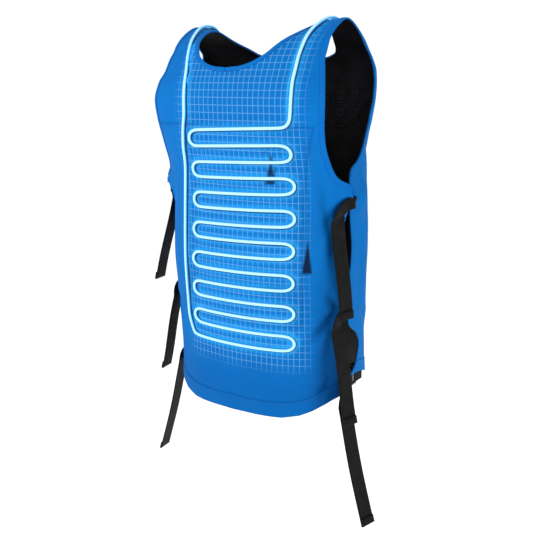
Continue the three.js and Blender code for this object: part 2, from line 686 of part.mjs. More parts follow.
// Where a strap runs at the side, on the half where x is positive
class StrapPlace {
  constructor(row) {
    const half = webWidth / 2;
    this.z = -row.drop * backLength;
    const heights = [this.z - half, this.z, this.z + half];
    this.frontEdge = Math.max(...heights.map((z) => edgeAt(frontGrid, z).y));
    this.backEdge = Math.min(...heights.map((z) => edgeAt(backGrid, z).y));
    this.buckleMiddle = row.buckle * backDepth;
    this.inside = this.clearReach() - strapGap - webWall / 2;
    this.buckleOuter = this.inside - webWall / 2 - strapGap;
    this.buckleInner = this.buckleOuter - buckleWall;
  }

  // The reach that stays inside the lining wherever the buckle and its straps lie
  clearReach() {
    const depth = clothWall + layerGap + liningWall + strapGap;
    const steps = 4;
    let reach = Infinity;
    for (let i = 0; i <= steps; i += 1) {
      const from = this.buckleMiddle - buckleLength;
      const y = lerp(from, Math.min(this.buckleMiddle + buckleLength / 2, this.frontEdge), i / steps);
      for (let k = -1; k <= 1; k += 1) {
        const drop = -(this.z + k * buckleHeight / 2) / backLength;
        const turn = front.turnAtStand(-y / frontDepth, drop);
        reach = Math.min(reach, front.point(turn, drop, -depth).x);
      }
    }
    return reach;
  }
}

// The reach of the back panel's outside at a place beside it
function outsideAt(y, z) {
  const drop = -z / backLength;
  return back.point(back.turnAtStand(y / backDepth, drop), drop).x;
}

// A flat strap on one side, from its middles and its directions across
function addStrap(name, stations, side) {
  const grid = stations.map(({ at, across, over = 0, under = 0 }) => [-1, 1].map((way) => {
    const edge = at.clone().addScaledVector(across, way * webWidth / 2);
    if (over) edge.x = Math.max(edge.x, outsideAt(edge.y, edge.z) + over);
    if (under) edge.x = Math.min(edge.x, outsideAt(edge.y, edge.z) - under);
    return edge;
  }));
  const skin = new Skin().grid(grid, gridNormals(grid, 1), side);
  addPiece(name, skin.wall(-webWall / 2, webWall / 2), blackWebbing);
}

const upright = new THREE.Vector3(0, 0, 1);
const vector = (x, y, z) => new THREE.Vector3(x, y, z);

// The free end: out between the panels, round the back panel's edge, and down in a quarter turn
const bendSteps = 5;
const fallSteps = 5;
const tailTurn = 15;           // degrees that a hanging tail faces to the rear of straight sideways
const bendShare = 0.62;        // radius of the quarter turn, a share of the strap's width
const tailLean = 4;            // how far a tail's end lies in front of its top
function tailStations(row, place, end) {
  const over = webWall + layerGap + bindingWall + strapGap;
  const bend = webWidth * bendShare;
  const hang = row.hang * halfWidth;
  const stations = [
    { at: vector(place.inside, place.buckleMiddle + buckleBar / 2, place.z), across: upright },
    { at: vector(place.inside, place.frontEdge + webWall, place.z), across: upright },
  ];
  const edgeY = place.backEdge - 2 * webWall;
  const edgeX = Math.max(hang, outsideAt(edgeY, place.z) + over);
  stations.push({ at: vector(edgeX, edgeY, place.z), across: upright, over });
  const turnY = place.backEdge + webWall;
  for (let i = 0; i <= bendSteps; i += 1) {
    const angle = i / bendSteps * Math.PI / 2;
    const x = lerp(edgeX, hang, i / bendSteps);
    const z = place.z - bend * (1 - Math.cos(angle));
    const across = vector(0, Math.sin(angle), Math.cos(angle));
    stations.push({ at: vector(x, turnY + bend * Math.sin(angle), z), across, over });
  }
  const top = last(stations).at;
  const fall = top.z + end * backLength;
  const across = vector(-Math.sin(rad(tailTurn)), Math.cos(rad(tailTurn)), 0);
  for (let i = 1; i <= fallSteps; i += 1) {
    const share = i / fallSteps;
    const x = hang + row.spread * fall * share;
    const at = vector(x, top.y - tailLean * share, top.z - fall * share);
    stations.push({ at, across, over });
  }
  return stations;
}

// The part that is sewn inside the back panel and runs forward behind the buckle
const sewnLength = 34;
function anchorStations(place) {
  const under = 2 * clothWall + 2 * webWall;
  const drop = -place.z / backLength;
  const sewn = [1, 0.5, 0].map((share) => {
    const y = place.backEdge + 2 * webWall + share * sewnLength;
    const turn = back.turnAtStand(y / backDepth, drop);
    return { at: back.point(turn, drop, -clothWall - webWall), across: upright, under };
  });
  const reach = place.buckleInner - strapGap - webWall / 2;
  const rear = Math.max(place.buckleMiddle + buckleLength / 2, place.frontEdge) + webWall;
  return [
    ...sewn,
    { at: vector(reach, rear, place.z), across: upright },
    { at: vector(reach, place.buckleMiddle, place.z), across: upright },
  ];
}

// The part that is sewn inside the front and holds the buckle
function tabStations(place) {
  const from = place.buckleMiddle - buckleLength;
  const to = place.buckleMiddle - buckleBar / 2;
  return [from, to].map((y) => ({ at: vector(place.inside, y, place.z), across: upright }));
}

// Frame with two slots that a strap threads through, its length along x and its height along y
const buckleCorner = 3;
function buckleGeometry() {
  const [l, h] = [buckleLength / 2, buckleHeight / 2];
  const outline = [];
  for (const [x, y, from] of [[1, -1, 270], [1, 1, 0], [-1, 1, 90], [-1, -1, 180]]) {
    for (const angle of [from, from + 45, from + 90]) {
      const turn = rad(angle);
      outline.push(new THREE.Vector2(
        x * (l - buckleCorner) + buckleCorner * Math.cos(turn),
        y * (h - buckleCorner) + buckleCorner * Math.sin(turn),
      ));
    }
  }
  const shape = new THREE.Shape(outline);
  const slots = [
    { x0: buckleBar / 2, x1: l - buckleBar, spare: slotSpare },
    { x0: buckleBar - l, x1: -buckleBar / 2, spare: slotSpare / 2 },
  ];
  for (const { x0, x1, spare } of slots) {
    const slot = webWidth / 2 + spare;
    const corners = [[x0, -slot], [x0, slot], [x1, slot], [x1, -slot]];
    shape.holes.push(new THREE.Path(corners.map(([x, y]) => new THREE.Vector2(x, y))));
  }
  return new THREE.ExtrudeGeometry(shape, { depth: buckleWall, bevelEnabled: false });
}

function addBuckle(name, place, side) {
  const buckle = addPiece(name, buckleGeometry(), blackPlastic);
  const basis = new THREE.Matrix4().makeBasis(vector(0, 1, 0), upright, vector(1, 0, 0));
  buckle.quaternion.setFromRotationMatrix(basis);
  const start = side > 0 ? place.buckleInner : -place.buckleOuter;
  buckle.position.set(start, place.buckleMiddle, place.z);
}

function addStraps() {
  for (const row of strapRows) {
    const place = new StrapPlace(row);
    for (const [name, side, end] of [['right', -1, row.right], ['left', 1, row.left]]) {
      const label = `${row.name}_${name}`;
      addStrap(`strap_tail_${label}`, tailStations(row, place, end), side);
      addStrap(`strap_anchor_${label}`, anchorStations(place), side);
      addStrap(`buckle_tab_${label}`, tabStations(place), side);
      addBuckle(`buckle_${label}`, place, side);
    }
  }
}

addPanels();
addBindings();
addHems();
addPocket();
addTube();
addStraps();

export default vest;
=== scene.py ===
"""A sleeveless cooling vest with a lit coolant tube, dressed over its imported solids.

Metres, +Z up, the front faces -Y and the vest's right is -X. Every place on the cloth is given by a
turn round from the middle and a drop below the shoulder ridge, as shares of the garment's main sizes.
"""

import logging
import math
from dataclasses import dataclass
from enum import Enum
from typing import Callable, NamedTuple, Optional, Sequence, Union

import bmesh
import bpy
import numpy as np
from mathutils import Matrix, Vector
from mathutils.bvhtree import BVHTree


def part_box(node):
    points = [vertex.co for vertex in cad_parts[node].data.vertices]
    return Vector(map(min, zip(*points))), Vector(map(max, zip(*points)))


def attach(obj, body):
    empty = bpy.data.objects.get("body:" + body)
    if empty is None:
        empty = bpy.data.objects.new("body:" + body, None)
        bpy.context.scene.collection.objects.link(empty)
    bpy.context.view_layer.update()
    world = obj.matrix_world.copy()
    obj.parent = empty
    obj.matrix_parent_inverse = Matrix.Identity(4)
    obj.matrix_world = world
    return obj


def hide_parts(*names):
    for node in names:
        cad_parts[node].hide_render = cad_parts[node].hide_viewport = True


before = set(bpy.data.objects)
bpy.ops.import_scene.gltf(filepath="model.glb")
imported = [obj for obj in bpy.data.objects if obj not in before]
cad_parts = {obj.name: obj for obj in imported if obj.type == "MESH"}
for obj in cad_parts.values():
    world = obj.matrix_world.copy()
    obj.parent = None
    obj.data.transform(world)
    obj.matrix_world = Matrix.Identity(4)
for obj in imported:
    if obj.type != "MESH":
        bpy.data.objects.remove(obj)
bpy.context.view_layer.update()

log = logging.getLogger("vest")
Array = np.ndarray
Numbers = Union[float, Array]
Pair = tuple[float, float]
Direction = Callable[[Array], Array]
Object = bpy.types.Object
Mesh = bpy.types.Mesh
Material = bpy.types.Material
Node = bpy.types.Node
Socket = bpy.types.NodeSocket

# Main sizes of the garment, in metres. A drop is a share of the length and a turn is in radians.
BACK_LENGTH = 0.675
HALF_WIDTH = 0.190
BACK_DEPTH = 0.125
FRONT_DEPTH = 0.125
CREST_RISE = 0.003
RIGHT_CREST = 0.0055
SEAM_GAP = 0.0003
CLOTH_WALL = 0.0016
LINING_WALL = 0.0011
LAYER_GAP = 0.00035
WEB_WIDTH = 0.032
WEB_WALL = 0.0016
POCKET_TURN = math.radians(42)
POCKET_DROPS = (0.24, 0.765)
FLAP_DROP = 0.325
POCKET_LIFT = 0.0016
FLAP_LIFT = 0.0012
QUILTED = (0.156, 0.160, 0.270, 0.274)


class Side(Enum):
    """The vest's side, as the sign of x."""

    RIGHT = -1
    LEFT = 1


class Facing(Enum):
    """Which way a panel faces, as the sign of y."""

    BACK = 1
    FRONT = -1


class Section(NamedTuple):
    """One level of the torso: shares of the length, the half width and the depth, and the roundness."""

    drop: float
    half: float
    depth: float
    power: float


class Row(NamedTuple):
    """One row of a panel, from its middle or neckline to its side edge or armhole.

    mid and side_drop are shares of the back's length, neck and arm are reaches as shares of the half
    width, and side is how far the edge stands out from the torso's centre line, a share of the depth.
    """

    mid: float
    neck: float
    side_drop: float
    side: Optional[float] = None
    arm: Optional[float] = None


class Fold(NamedTuple):
    """A dent or a fold: place and lean in degrees and share, lengths in shares, rise in depths."""

    turn: float
    drop: float
    long: float
    wide: float
    lean: float
    rise: float


class Crease(NamedTuple):
    """A fine fold between two places, each a turn in degrees and a drop. Width and rise in metres."""

    start: Pair
    end: Pair
    wide: float
    rise: float
    side: Optional[Side] = None


BACK_SECTIONS = tuple(Section(*level) for level in (
    (0.000, 0.842, 0.272, 2.0), (0.015, 1.100, 0.380, 2.0), (0.030, 1.060, 0.600, 2.0),
    (0.044, 1.037, 0.744, 2.0), (0.067, 1.042, 0.880, 2.0), (0.089, 1.063, 0.968, 2.1),
    (0.119, 1.084, 1.040, 2.2), (0.148, 1.116, 1.088, 2.5), (0.193, 1.147, 1.112, 2.7),
    (0.237, 1.132, 1.104, 2.6), (0.296, 1.074, 1.088, 2.4), (0.370, 1.026, 1.024, 2.2),
    (0.444, 1.000, 1.000, 2.2), (0.593, 1.005, 1.008, 2.2), (0.741, 0.968, 0.968, 2.2),
    (0.889, 0.942, 0.944, 2.2), (1.007, 0.942, 0.944, 2.2),
))
FRONT_SECTIONS = tuple(Section(*level) for level in (
    (0.000, 0.842, 0.176, 2.6), (0.015, 0.875, 0.208, 3.2), (0.030, 0.905, 0.304, 3.6),
    (0.044, 0.913, 0.496, 3.6), (0.067, 0.924, 0.728, 3.6), (0.089, 0.949, 0.856, 3.6),
    (0.119, 0.971, 0.936, 3.6), (0.148, 0.968, 0.984, 3.6), (0.193, 0.952, 1.016, 3.6),
    (0.237, 0.925, 1.016, 3.6), (0.296, 0.890, 0.990, 3.4), (0.370, 0.925, 0.936, 2.9),
    (0.444, 0.963, 0.912, 2.6), (0.593, 0.974, 0.990, 2.6), (0.741, 0.963, 1.000, 2.6),
    (0.815, 0.950, 1.060, 2.6), (0.889, 0.942, 1.152, 2.6), (0.970, 0.942, 1.256, 2.6),
    (1.007, 0.942, 1.270, 2.6),
))
BACK_ROWS = (
    *(Row(mid, 0, low, side=side) for mid, low, side in (
        (0.9985, 0.944, 0.200), (0.930, 0.889, 0.290), (0.850, 0.822, 0.350), (0.756, 0.741, 0.320),
        (0.676, 0.667, 0.380), (0.514, 0.511, 0.390), (0.456, 0.452, 0.345), (0.424, 0.415, 0.300),
    )),
    *(Row(mid, neck, low, arm=arm) for mid, neck, low, arm in (
        (0.400, 0, 0.400, 0.984), (0.366, 0, 0.370, 0.918), (0.317, 0, 0.326, 0.887),
        (0.273, 0, 0.281, 0.882), (0.2489, 0, 0.244, 0.893), (0.190, 0, 0.193, 0.906),
        (0.127, 0, 0.130, 0.863), (0.112, 0, 0.117, 0.850), (0.1095, 0.116, 0.107, 0.840),
        (0.1030, 0.211, 0.098, 0.832), (0.0896, 0.305, 0.087, 0.826), (0.074, 0.372, 0.073, 0.821),
        (0.059, 0.416, 0.059, 0.818), (0.044, 0.464, 0.044, 0.814), (0.030, 0.508, 0.030, 0.815),
        (0.015, 0.558, 0.015, 0.818), (0.000, 0.593, 0.000, 0.810),
    )),
)
FRONT_ROWS = tuple(Row(mid, neck, low, side=side) for mid, neck, low, side in (
    (0.984, 0, 0.938, -0.060), (0.930, 0, 0.892, 0.136), (0.876, 0, 0.843, 0.184),
    (0.812, 0, 0.794, 0.040), (0.762, 0, 0.750, -0.200), (0.690, 0, 0.681, -0.250),
    (0.558, 0, 0.557, -0.185), (0.452, 0, 0.456, -0.225), (0.364, 0, 0.366, -0.150),
    (0.340, 0, 0.341, 0.080), (0.281, 0, 0.281, 0.400), (0.222, 0, 0.222, 0.408),
    (0.193, 0, 0.193, 0.432), (0.138, 0, 0.139, 0.410), (0.1155, 0, 0.122, 0.380),
    (0.1130, 0.126, 0.112, 0.368), (0.1070, 0.221, 0.103, 0.360), (0.0970, 0.305, 0.094, 0.352),
    (0.0860, 0.363, 0.084, 0.344), (0.074, 0.424, 0.074, 0.320), (0.059, 0.475, 0.059, 0.230),
    (0.044, 0.519, 0.044, 0.150), (0.030, 0.555, 0.030, 0.120), (0.015, 0.590, 0.015, 0.095),
    (0.000, 0.593, 0.000, 0.075),
))
BACK_FOLDS = tuple(Fold(*fold) for fold in (
    (72, 0.415, 0.140, 0.140, 0, 0.105), (58, 0.475, 0.330, 0.060, 14, -0.040),
    (60, 0.735, 0.260, 0.055, -48, -0.045), (64, 0.905, 0.160, 0.080, 8, -0.030),
))
FRONT_FOLDS = tuple(Fold(*fold) for fold in (
    (84, 0.415, 0.200, 0.060, 20, 0.025), (78, 0.600, 0.420, 0.060, 0, -0.025),
))
BACK_CREASES = tuple(Crease(*crease) for crease in (
    ((70, 0.425), (57, 0.495), 0.008, -0.0062, Side.RIGHT),
    ((66, 0.455), (60, 0.600), 0.009, -0.0042, Side.RIGHT),
    ((69, 0.520), (62, 0.560), 0.006, -0.0028, Side.RIGHT),
    ((67, 0.715), (49, 0.795), 0.009, -0.0048, Side.RIGHT),
    ((67, 0.700), (57, 0.655), 0.008, -0.0032, Side.RIGHT),
    ((65, 0.740), (59, 0.870), 0.012, -0.0036, Side.RIGHT),
    ((64, 0.905), (54, 0.935), 0.009, -0.0032, Side.RIGHT),
    ((70, 0.425), (60, 0.520), 0.009, -0.0035, Side.LEFT),
    ((69, 0.715), (56, 0.760), 0.009, -0.0040, Side.LEFT),
    ((33, 0.062), (42, 0.078), 0.0035, -0.0013, Side.LEFT),
    ((31, 0.074), (40, 0.092), 0.0035, -0.0014, Side.LEFT),
    ((28, 0.086), (37, 0.106), 0.0035, -0.0013, Side.LEFT),
    ((24, 0.096), (33, 0.118), 0.0035, -0.0012, Side.LEFT),
    ((4, 0.935), (30, 0.945), 0.030, 0.0030),
    ((20, 0.640), (50, 0.700), 0.030, -0.0015),
))
FRONT_CREASES = tuple(Crease(*crease) for crease in (
    ((88, 0.440), (70, 0.560), 0.010, -0.0030),
    ((86, 0.500), (80, 0.760), 0.009, 0.0025),
    ((80, 0.360), (66, 0.700), 0.012, -0.0030, Side.RIGHT),
    ((88, 0.700), (64, 0.820), 0.010, -0.0040),
    ((70, 0.300), (40, 0.420), 0.014, -0.0030),
    ((60, 0.180), (30, 0.330), 0.012, -0.0020, Side.LEFT),
    ((34, 0.400), (52, 0.560), 0.018, 0.0030, Side.RIGHT),
    ((36, 0.620), (58, 0.800), 0.020, -0.0030, Side.LEFT),
))


class SmoothColumn:
    """A smooth curve through a table's column, without overshoot between its rows."""

    def __init__(self, x: Sequence[float], y: Sequence[float]) -> None:
        """Work out the tangents.

        Args:
            x: Rising places.
            y: The value at each place.
        """
        self.x = np.asarray(x, float)
        self.y = np.asarray(y, float)
        slope = np.diff(self.y) / np.diff(self.x)
        product = slope[:-1] * slope[1:]
        total = slope[:-1] + slope[1:]
        safe = np.where(product > 0, total, 1.0)
        inner = np.where(product > 0, 2 * product / safe, 0.0)
        self.tangent = np.concatenate([slope[:1], inner, slope[-1:]])

    def __call__(self, at: Numbers) -> Array:
        """Return the curve's value at each place, held level past the ends."""
        place = np.clip(np.asarray(at, float), self.x[0], self.x[-1])
        i = np.clip(np.searchsorted(self.x, place, side="right") - 1, 0, len(self.x) - 2)
        step = self.x[i + 1] - self.x[i]
        start, leaving, end, arriving = hermite((place - self.x[i]) / step)
        return (
            start * self.y[i] + leaving * step * self.tangent[i]
            + end * self.y[i + 1] + arriving * step * self.tangent[i + 1]
        )


@dataclass
class Torso:
    """One face of the torso that the vest hangs on."""

    facing: Facing
    depth: float
    sections: Sequence[Section]
    folds: Sequence[Fold]
    creases: Sequence[Crease]

    def __post_init__(self) -> None:
        """Make the smooth columns of the section table."""
        drops = [s.drop for s in self.sections]
        self.half = SmoothColumn(drops, [s.half for s in self.sections])
        self.depth_share = SmoothColumn(drops, [s.depth for s in self.sections])
        self.power = SmoothColumn(drops, [s.power for s in self.sections])

    def turn_at_reach(self, reach: Numbers, drop: Numbers) -> Array:
        """Return the turn at which the section reaches so far to the side."""
        share = np.minimum(np.asarray(reach) / (HALF_WIDTH * self.half(drop)), 1.0)
        return np.arcsin(share ** (self.power(drop) / 2))

    def turn_at_stand(self, stand: Numbers, drop: Numbers) -> Array:
        """Return the turn at which the section stands out by a share of the depth."""
        share = np.minimum(np.abs(stand) / self.depth_share(drop), 1.0)
        turn = np.arccos(share ** (self.power(drop) / 2))
        return np.where(np.asarray(stand) < 0, math.pi - turn, turn)

    def plain(self, turn: Array, drop: Array) -> Array:
        """Return the section's points without folds."""
        power = self.power(drop)
        across = np.sign(np.sin(turn)) * np.abs(np.sin(turn)) ** (2 / power)
        out = np.sign(np.cos(turn)) * np.abs(np.cos(turn)) ** (2 / power)
        x = HALF_WIDTH * self.half(drop) * across
        y = self.facing.value * self.depth * self.depth_share(drop) * out
        return np.stack([x, y, -BACK_LENGTH * drop + 0 * x], -1)

    def fold_height(self, turn: Array, drop: Array) -> Array:
        """Return the height of the main dents and folds, in metres."""
        height = 0 * turn
        for fold in self.folds:
            across = (turn - math.radians(fold.turn)) * HALF_WIDTH
            down = (drop - fold.drop) * BACK_LENGTH
            lean = math.radians(fold.lean)
            along = down * math.cos(lean) + across * math.sin(lean)
            aside = across * math.cos(lean) - down * math.sin(lean)
            spread = (along / (fold.long * HALF_WIDTH)) ** 2 + (aside / (fold.wide * HALF_WIDTH)) ** 2
            height = height + fold.rise * self.depth * np.exp(-spread)
        return height

    def crease_height(self, turn: Array, drop: Array, side: Side) -> Array:
        """Return the height of the fine folds on one side, in metres."""
        height = 0 * turn
        for crease in self.creases:
            if crease.side not in (None, side):
                continue
            a, b = (
                np.array([math.radians(mark[0]) * HALF_WIDTH, mark[1] * BACK_LENGTH])
                for mark in (crease.start, crease.end)
            )
            along = b - a
            length = np.linalg.norm(along)
            along = along / length
            u = turn * HALF_WIDTH - a[0]
            v = drop * BACK_LENGTH - a[1]
            far = u * along[0] + v * along[1]
            off = u * along[1] - v * along[0]
            share = far / length
            fade = window(share, -0.15, 0.15, 0.45, 1.15)
            wide = crease.wide * (0.7 + 0.9 * np.clip(share, 0, 1))
            ridge = np.exp(-((off / wide) ** 2)) - 0.35 * np.exp(-(((np.abs(off) - 1.9 * wide) / wide) ** 2))
            height = height + crease.rise * fade * ridge
        return height

    def outward(self, turn: Array, drop: Array) -> Array:
        """Return unit vectors straight out of the level section."""
        step = 0.02
        along = self.plain(turn + step, drop) - self.plain(turn - step, drop)
        out = np.stack([-along[..., 1], along[..., 0], 0 * along[..., 0]], -1) * self.facing.value
        return unit(out)

    def point(
        self, turn: Array, drop: Array, lift: Numbers = 0.0, side: Optional[Side] = None
    ) -> Array:
        """Return points on the folded section, lifted level outwards.

        Args:
            turn: Turn from the middle, in radians.
            drop: Share of the back's length below the ridge.
            lift: Metres out of the surface.
            side: The side whose fine folds are added, if any.

        Returns:
            Points on the half where x is positive.
        """
        height = self.fold_height(turn, drop) + lift
        if side is not None:
            height = height + self.crease_height(turn, drop, side)
        return self.plain(turn, drop) + self.outward(turn, drop) * height[..., None]

    def above(self, turn: Array, drop: Array, lift: Numbers) -> Array:
        """Return points lifted square to the surface, for what lies on a slope."""
        step = 0.01
        around = self.point(turn + step, drop) - self.point(turn - step, drop)
        down = self.point(turn, drop + step) - self.point(turn, np.maximum(drop - step, 0))
        out = unit(np.cross(around, down) * self.facing.value)
        return self.point(turn, drop) + out * np.asarray(lift + 0 * turn)[..., None]

    def arc(self, turn: Array, drop: Array) -> Array:
        """Return the length round the section from its middle, in metres."""
        steps = 24
        marks = [self.plain(turn * i / steps, drop) for i in range(steps + 1)]
        return sum((np.linalg.norm(b - a, axis=-1) for a, b in zip(marks, marks[1:])), 0 * turn)

    def fall(self, drop: Array) -> Array:
        """Return the length down the cloth from the ridge along a line beside the middle, in metres."""
        drops = np.linspace(0, 1.01, 400)
        line = self.plain(np.full(len(drops), math.radians(35)), drops)
        return np.interp(drop, drops, lengths_along(line))


def smooth_step(value: Array, low: float, high: float) -> Array:
    """Return 0 below low and 1 above high, with a smooth rise between."""
    t = np.clip((value - low) / (high - low), 0, 1)
    return t * t * (3 - 2 * t)


def window(value: Array, start: float, full: float, held: float, end: float) -> Array:
    """Return 1 between full and held, and 0 before start and beyond end."""
    return smooth_step(value, start, full) * (1 - smooth_step(value, held, end))


def hermite(t: Numbers) -> tuple:
    """Return the shares of a cubic's start, leaving slope, end and arriving slope."""
    return 2 * t**3 - 3 * t**2 + 1, t**3 - 2 * t**2 + t, 3 * t**2 - 2 * t**3, t**3 - t**2


def unit(vectors: Array) -> Array:
    """Return vectors of length 1."""
    return vectors / np.linalg.norm(vectors, axis=-1, keepdims=True)


def lengths_along(line: Array) -> Array:
    """Return the length from a line's start to each of its points."""
    return np.concatenate([[0], np.cumsum(np.linalg.norm(np.diff(line, axis=0), axis=1))])


def resample(line: Array, count: int) -> Array:
    """Return evenly spaced points along a line."""
    length = lengths_along(line)
    even = np.linspace(0, length[-1], count)
    return np.stack([np.interp(even, length, line[:, i]) for i in range(3)], -1)


def relax(line: Array, rounds: int) -> Array:
    """Round a line's corners, its ends held."""
    for _ in range(rounds):
        line[1:-1] = line[1:-1] * 0.5 + (line[:-2] + line[2:]) * 0.25
    return line


def right_crest(z: Array) -> Array:
    """Return how much higher the right shoulder stands at each height of the cloth."""
    return RIGHT_CREST * smooth_step(z, -0.060, -0.005)


def pocket_lift(turn: Array, drop: Array) -> Array:
    """Return how far the pocket and its flap lift what lies on the back."""
    inside = (turn < POCKET_TURN + 0.03) & (drop > POCKET_DROPS[0]) & (drop < POCKET_DROPS[1])
    return POCKET_LIFT * inside + FLAP_LIFT * (inside & (drop < FLAP_DROP))


def cells(rows: int, columns: int, base: int, turned: bool) -> list[tuple[int, ...]]:
    """Return the faces of a grid whose first vertex is base."""
    corners = (base + k * columns + j for k in range(rows - 1) for j in range(columns - 1))
    quads = [(a, a + 1, a + columns + 1, a + columns) for a in corners]
    return [quad[::-1] for quad in quads] if turned else quads


# The lower edges' heights by their reach to the side, in metres
BACK_HEM = (
    (0.0, -0.674), (0.095, -0.674), (0.124, -0.668), (0.142, -0.660), (0.157, -0.650), (0.177, -0.637),
    (0.2, -0.626),
)
FRONT_HEM = ((0.0, -0.660), (0.080, -0.655), (0.120, -0.643), (0.150, -0.630), (0.175, -0.623), (0.2, -0.622))
BACK = Torso(Facing.BACK, BACK_DEPTH, BACK_SECTIONS, BACK_FOLDS, BACK_CREASES)
FRONT = Torso(Facing.FRONT, FRONT_DEPTH, FRONT_SECTIONS, FRONT_FOLDS, FRONT_CREASES)


# Meshes

@dataclass
class Sheet:
    """A grid of points on one side of the garment, with its cloth coordinates."""

    points: Array
    cloth: Array
    turn: Array
    drop: Array
    side: Side

    def part(self, rows: slice, columns: slice) -> "Sheet":
        """Return some of the rows and columns."""
        return Sheet(
            self.points[rows, columns], self.cloth[rows, columns],
            self.turn[rows, columns], self.drop[rows, columns], self.side,
        )


@dataclass
class Pattern:
    """How a panel's half is laid out as rows and columns.

    narrowing, shoulder_drop and blend say where the fixed middle column draws in, droop and its shares
    how the neck's edge sags, hem and hem_corner where the lower edge runs, and neck_floor and
    floor_blend how flat the neckline's bottom is.
    """

    torso: Torso
    rows: Sequence[Row]
    hem: Sequence[Pair]
    hem_corner: float = 0.0
    hem_reach: float = 0.30
    corner_turns: Pair = (math.radians(66), math.radians(88))
    neck_floor: float = 1.0
    floor_blend: float = 0.016
    row_step: float = 0.0045
    columns: int = 64
    middle_share: float = 6 / 11
    narrowing: float = 0.9
    shoulder_drop: float = 0.227
    blend: float = 0.02
    droop: float = 0.009
    droop_share: float = 0.45
    droop_drop: float = 0.075

    def ends(self) -> tuple[Array, Array]:
        """Return each row's turn at its start and at its end."""
        start, end = [], []
        for row in self.rows:
            start.append(float(self.torso.turn_at_reach(row.neck * HALF_WIDTH, row.mid)) if row.neck else 0.0)
            if row.arm is not None:
                end.append(float(self.torso.turn_at_reach(row.arm * HALF_WIDTH, row.side_drop)))
            else:
                end.append(float(self.torso.turn_at_stand(row.side, row.side_drop)))
        return np.array(start), np.array(end)

    def places(self) -> Array:
        """Return the places between the table's rows, so that the rows are evenly fine."""
        found = [0.0]
        for i, (a, b) in enumerate(zip(self.rows, self.rows[1:])):
            size = max(abs(a.mid - b.mid), abs(a.side_drop - b.side_drop)) * BACK_LENGTH
            slope = 2.2 if b.side_drop < 0.05 else 1.0
            steps = max(2, math.ceil(size * slope / self.row_step))
            found += [i + k / steps for k in range(1, steps + 1)]
        return np.array(found)

    def even_turns(self, drop: float, start: float, middle: float, end: float) -> Array:
        """Return a row's turns, evenly spaced along the cloth on each side of its fixed middle column.

        Args:
            drop: The row's drop.
            start: Turn of the first column.
            middle: Turn of the middle column.
            end: Turn of the last column.

        Returns:
            One turn for each column.
        """
        ramp = np.linspace(0, 1, 240) ** 1.8 * math.pi / 4
        fine = np.concatenate([ramp, math.pi / 2 - ramp[::-1][1:], math.pi / 2 + ramp[1:]])
        line = self.torso.plain(fine, np.full(len(fine), drop))
        length = lengths_along(line)
        at = np.interp([start, middle, end], fine, length)
        half = self.columns // 2
        inner, outer = np.linspace(at[0], at[1], half + 1), np.linspace(at[1], at[2], half + 1)
        wanted = np.concatenate([inner, outer[1:]])
        turns = np.interp(wanted, length, fine)
        turns[0], turns[half], turns[-1] = start, middle, end
        return turns

    def half(self, side: Side, lift: float = 0.0) -> Sheet:
        """Return one half of the panel as a fine grid that ends in the shoulder seam.

        Args:
            side: The vest's side.
            lift: Metres out of the surface.

        Returns:
            The grid, with x still positive.
        """
        index = np.arange(len(self.rows))
        start_turn, end_turn = self.ends()
        at = self.places()[:, None]
        start = np.maximum(SmoothColumn(index, start_turn)(at), 0)
        end = SmoothColumn(index, end_turn)(at)
        mid = SmoothColumn(index, [row.mid for row in self.rows])(at)
        start = start * np.clip((self.neck_floor - mid) / self.floor_blend, 0, 1) ** 0.4
        outer = SmoothColumn(index, [row.side_drop for row in self.rows])(at)
        share = np.linspace(0, 1, self.columns + 1)[None, :]
        split = start + (end - start) * self.middle_share
        below = self.shoulder_drop + self.blend
        high = smooth_step(mid, below, self.shoulder_drop - self.blend)
        middle = np.where(mid < below, np.maximum(POCKET_TURN * self.narrowing, split), POCKET_TURN)
        middle = POCKET_TURN + (middle - POCKET_TURN) * np.clip(high, 0, 1)
        turn = np.array([
            self.even_turns(float(row), float(a), float(b), float(c))
            for row, a, b, c in zip(mid[:, 0], start[:, 0], middle[:, 0], end[:, 0])
        ])
        beyond = (turn - middle) / (end - middle)
        bend = np.clip((beyond - 0.3) / 0.7, 0, 1) ** 1.7
        drop = mid + (outer - mid) * bend
        low = self.torso.point(turn[:1], drop[:1], lift, side)[0]
        corner = self.hem_corner * smooth_step(turn[0], *self.corner_turns)
        rise = (np.interp(low[:, 0], *zip(*self.hem)) + corner - low[:, 2]) / BACK_LENGTH
        drop = drop - rise[None, :] * np.clip(1 - (mid[0] - mid) / self.hem_reach, 0, 1) ** 1.5
        points = self.torso.point(turn, drop, lift, side)
        beside = np.clip(1 - share / self.droop_share, 0, 1) ** 1.6
        points[..., 2] -= self.droop * beside * np.clip(1 - mid / self.droop_drop, 0, 1) ** 1.5
        cloth = np.stack([side.value * self.torso.arc(turn, drop), -self.torso.fall(drop)], -1)
        return Sheet(points, cloth, turn, drop + 0 * turn, side)


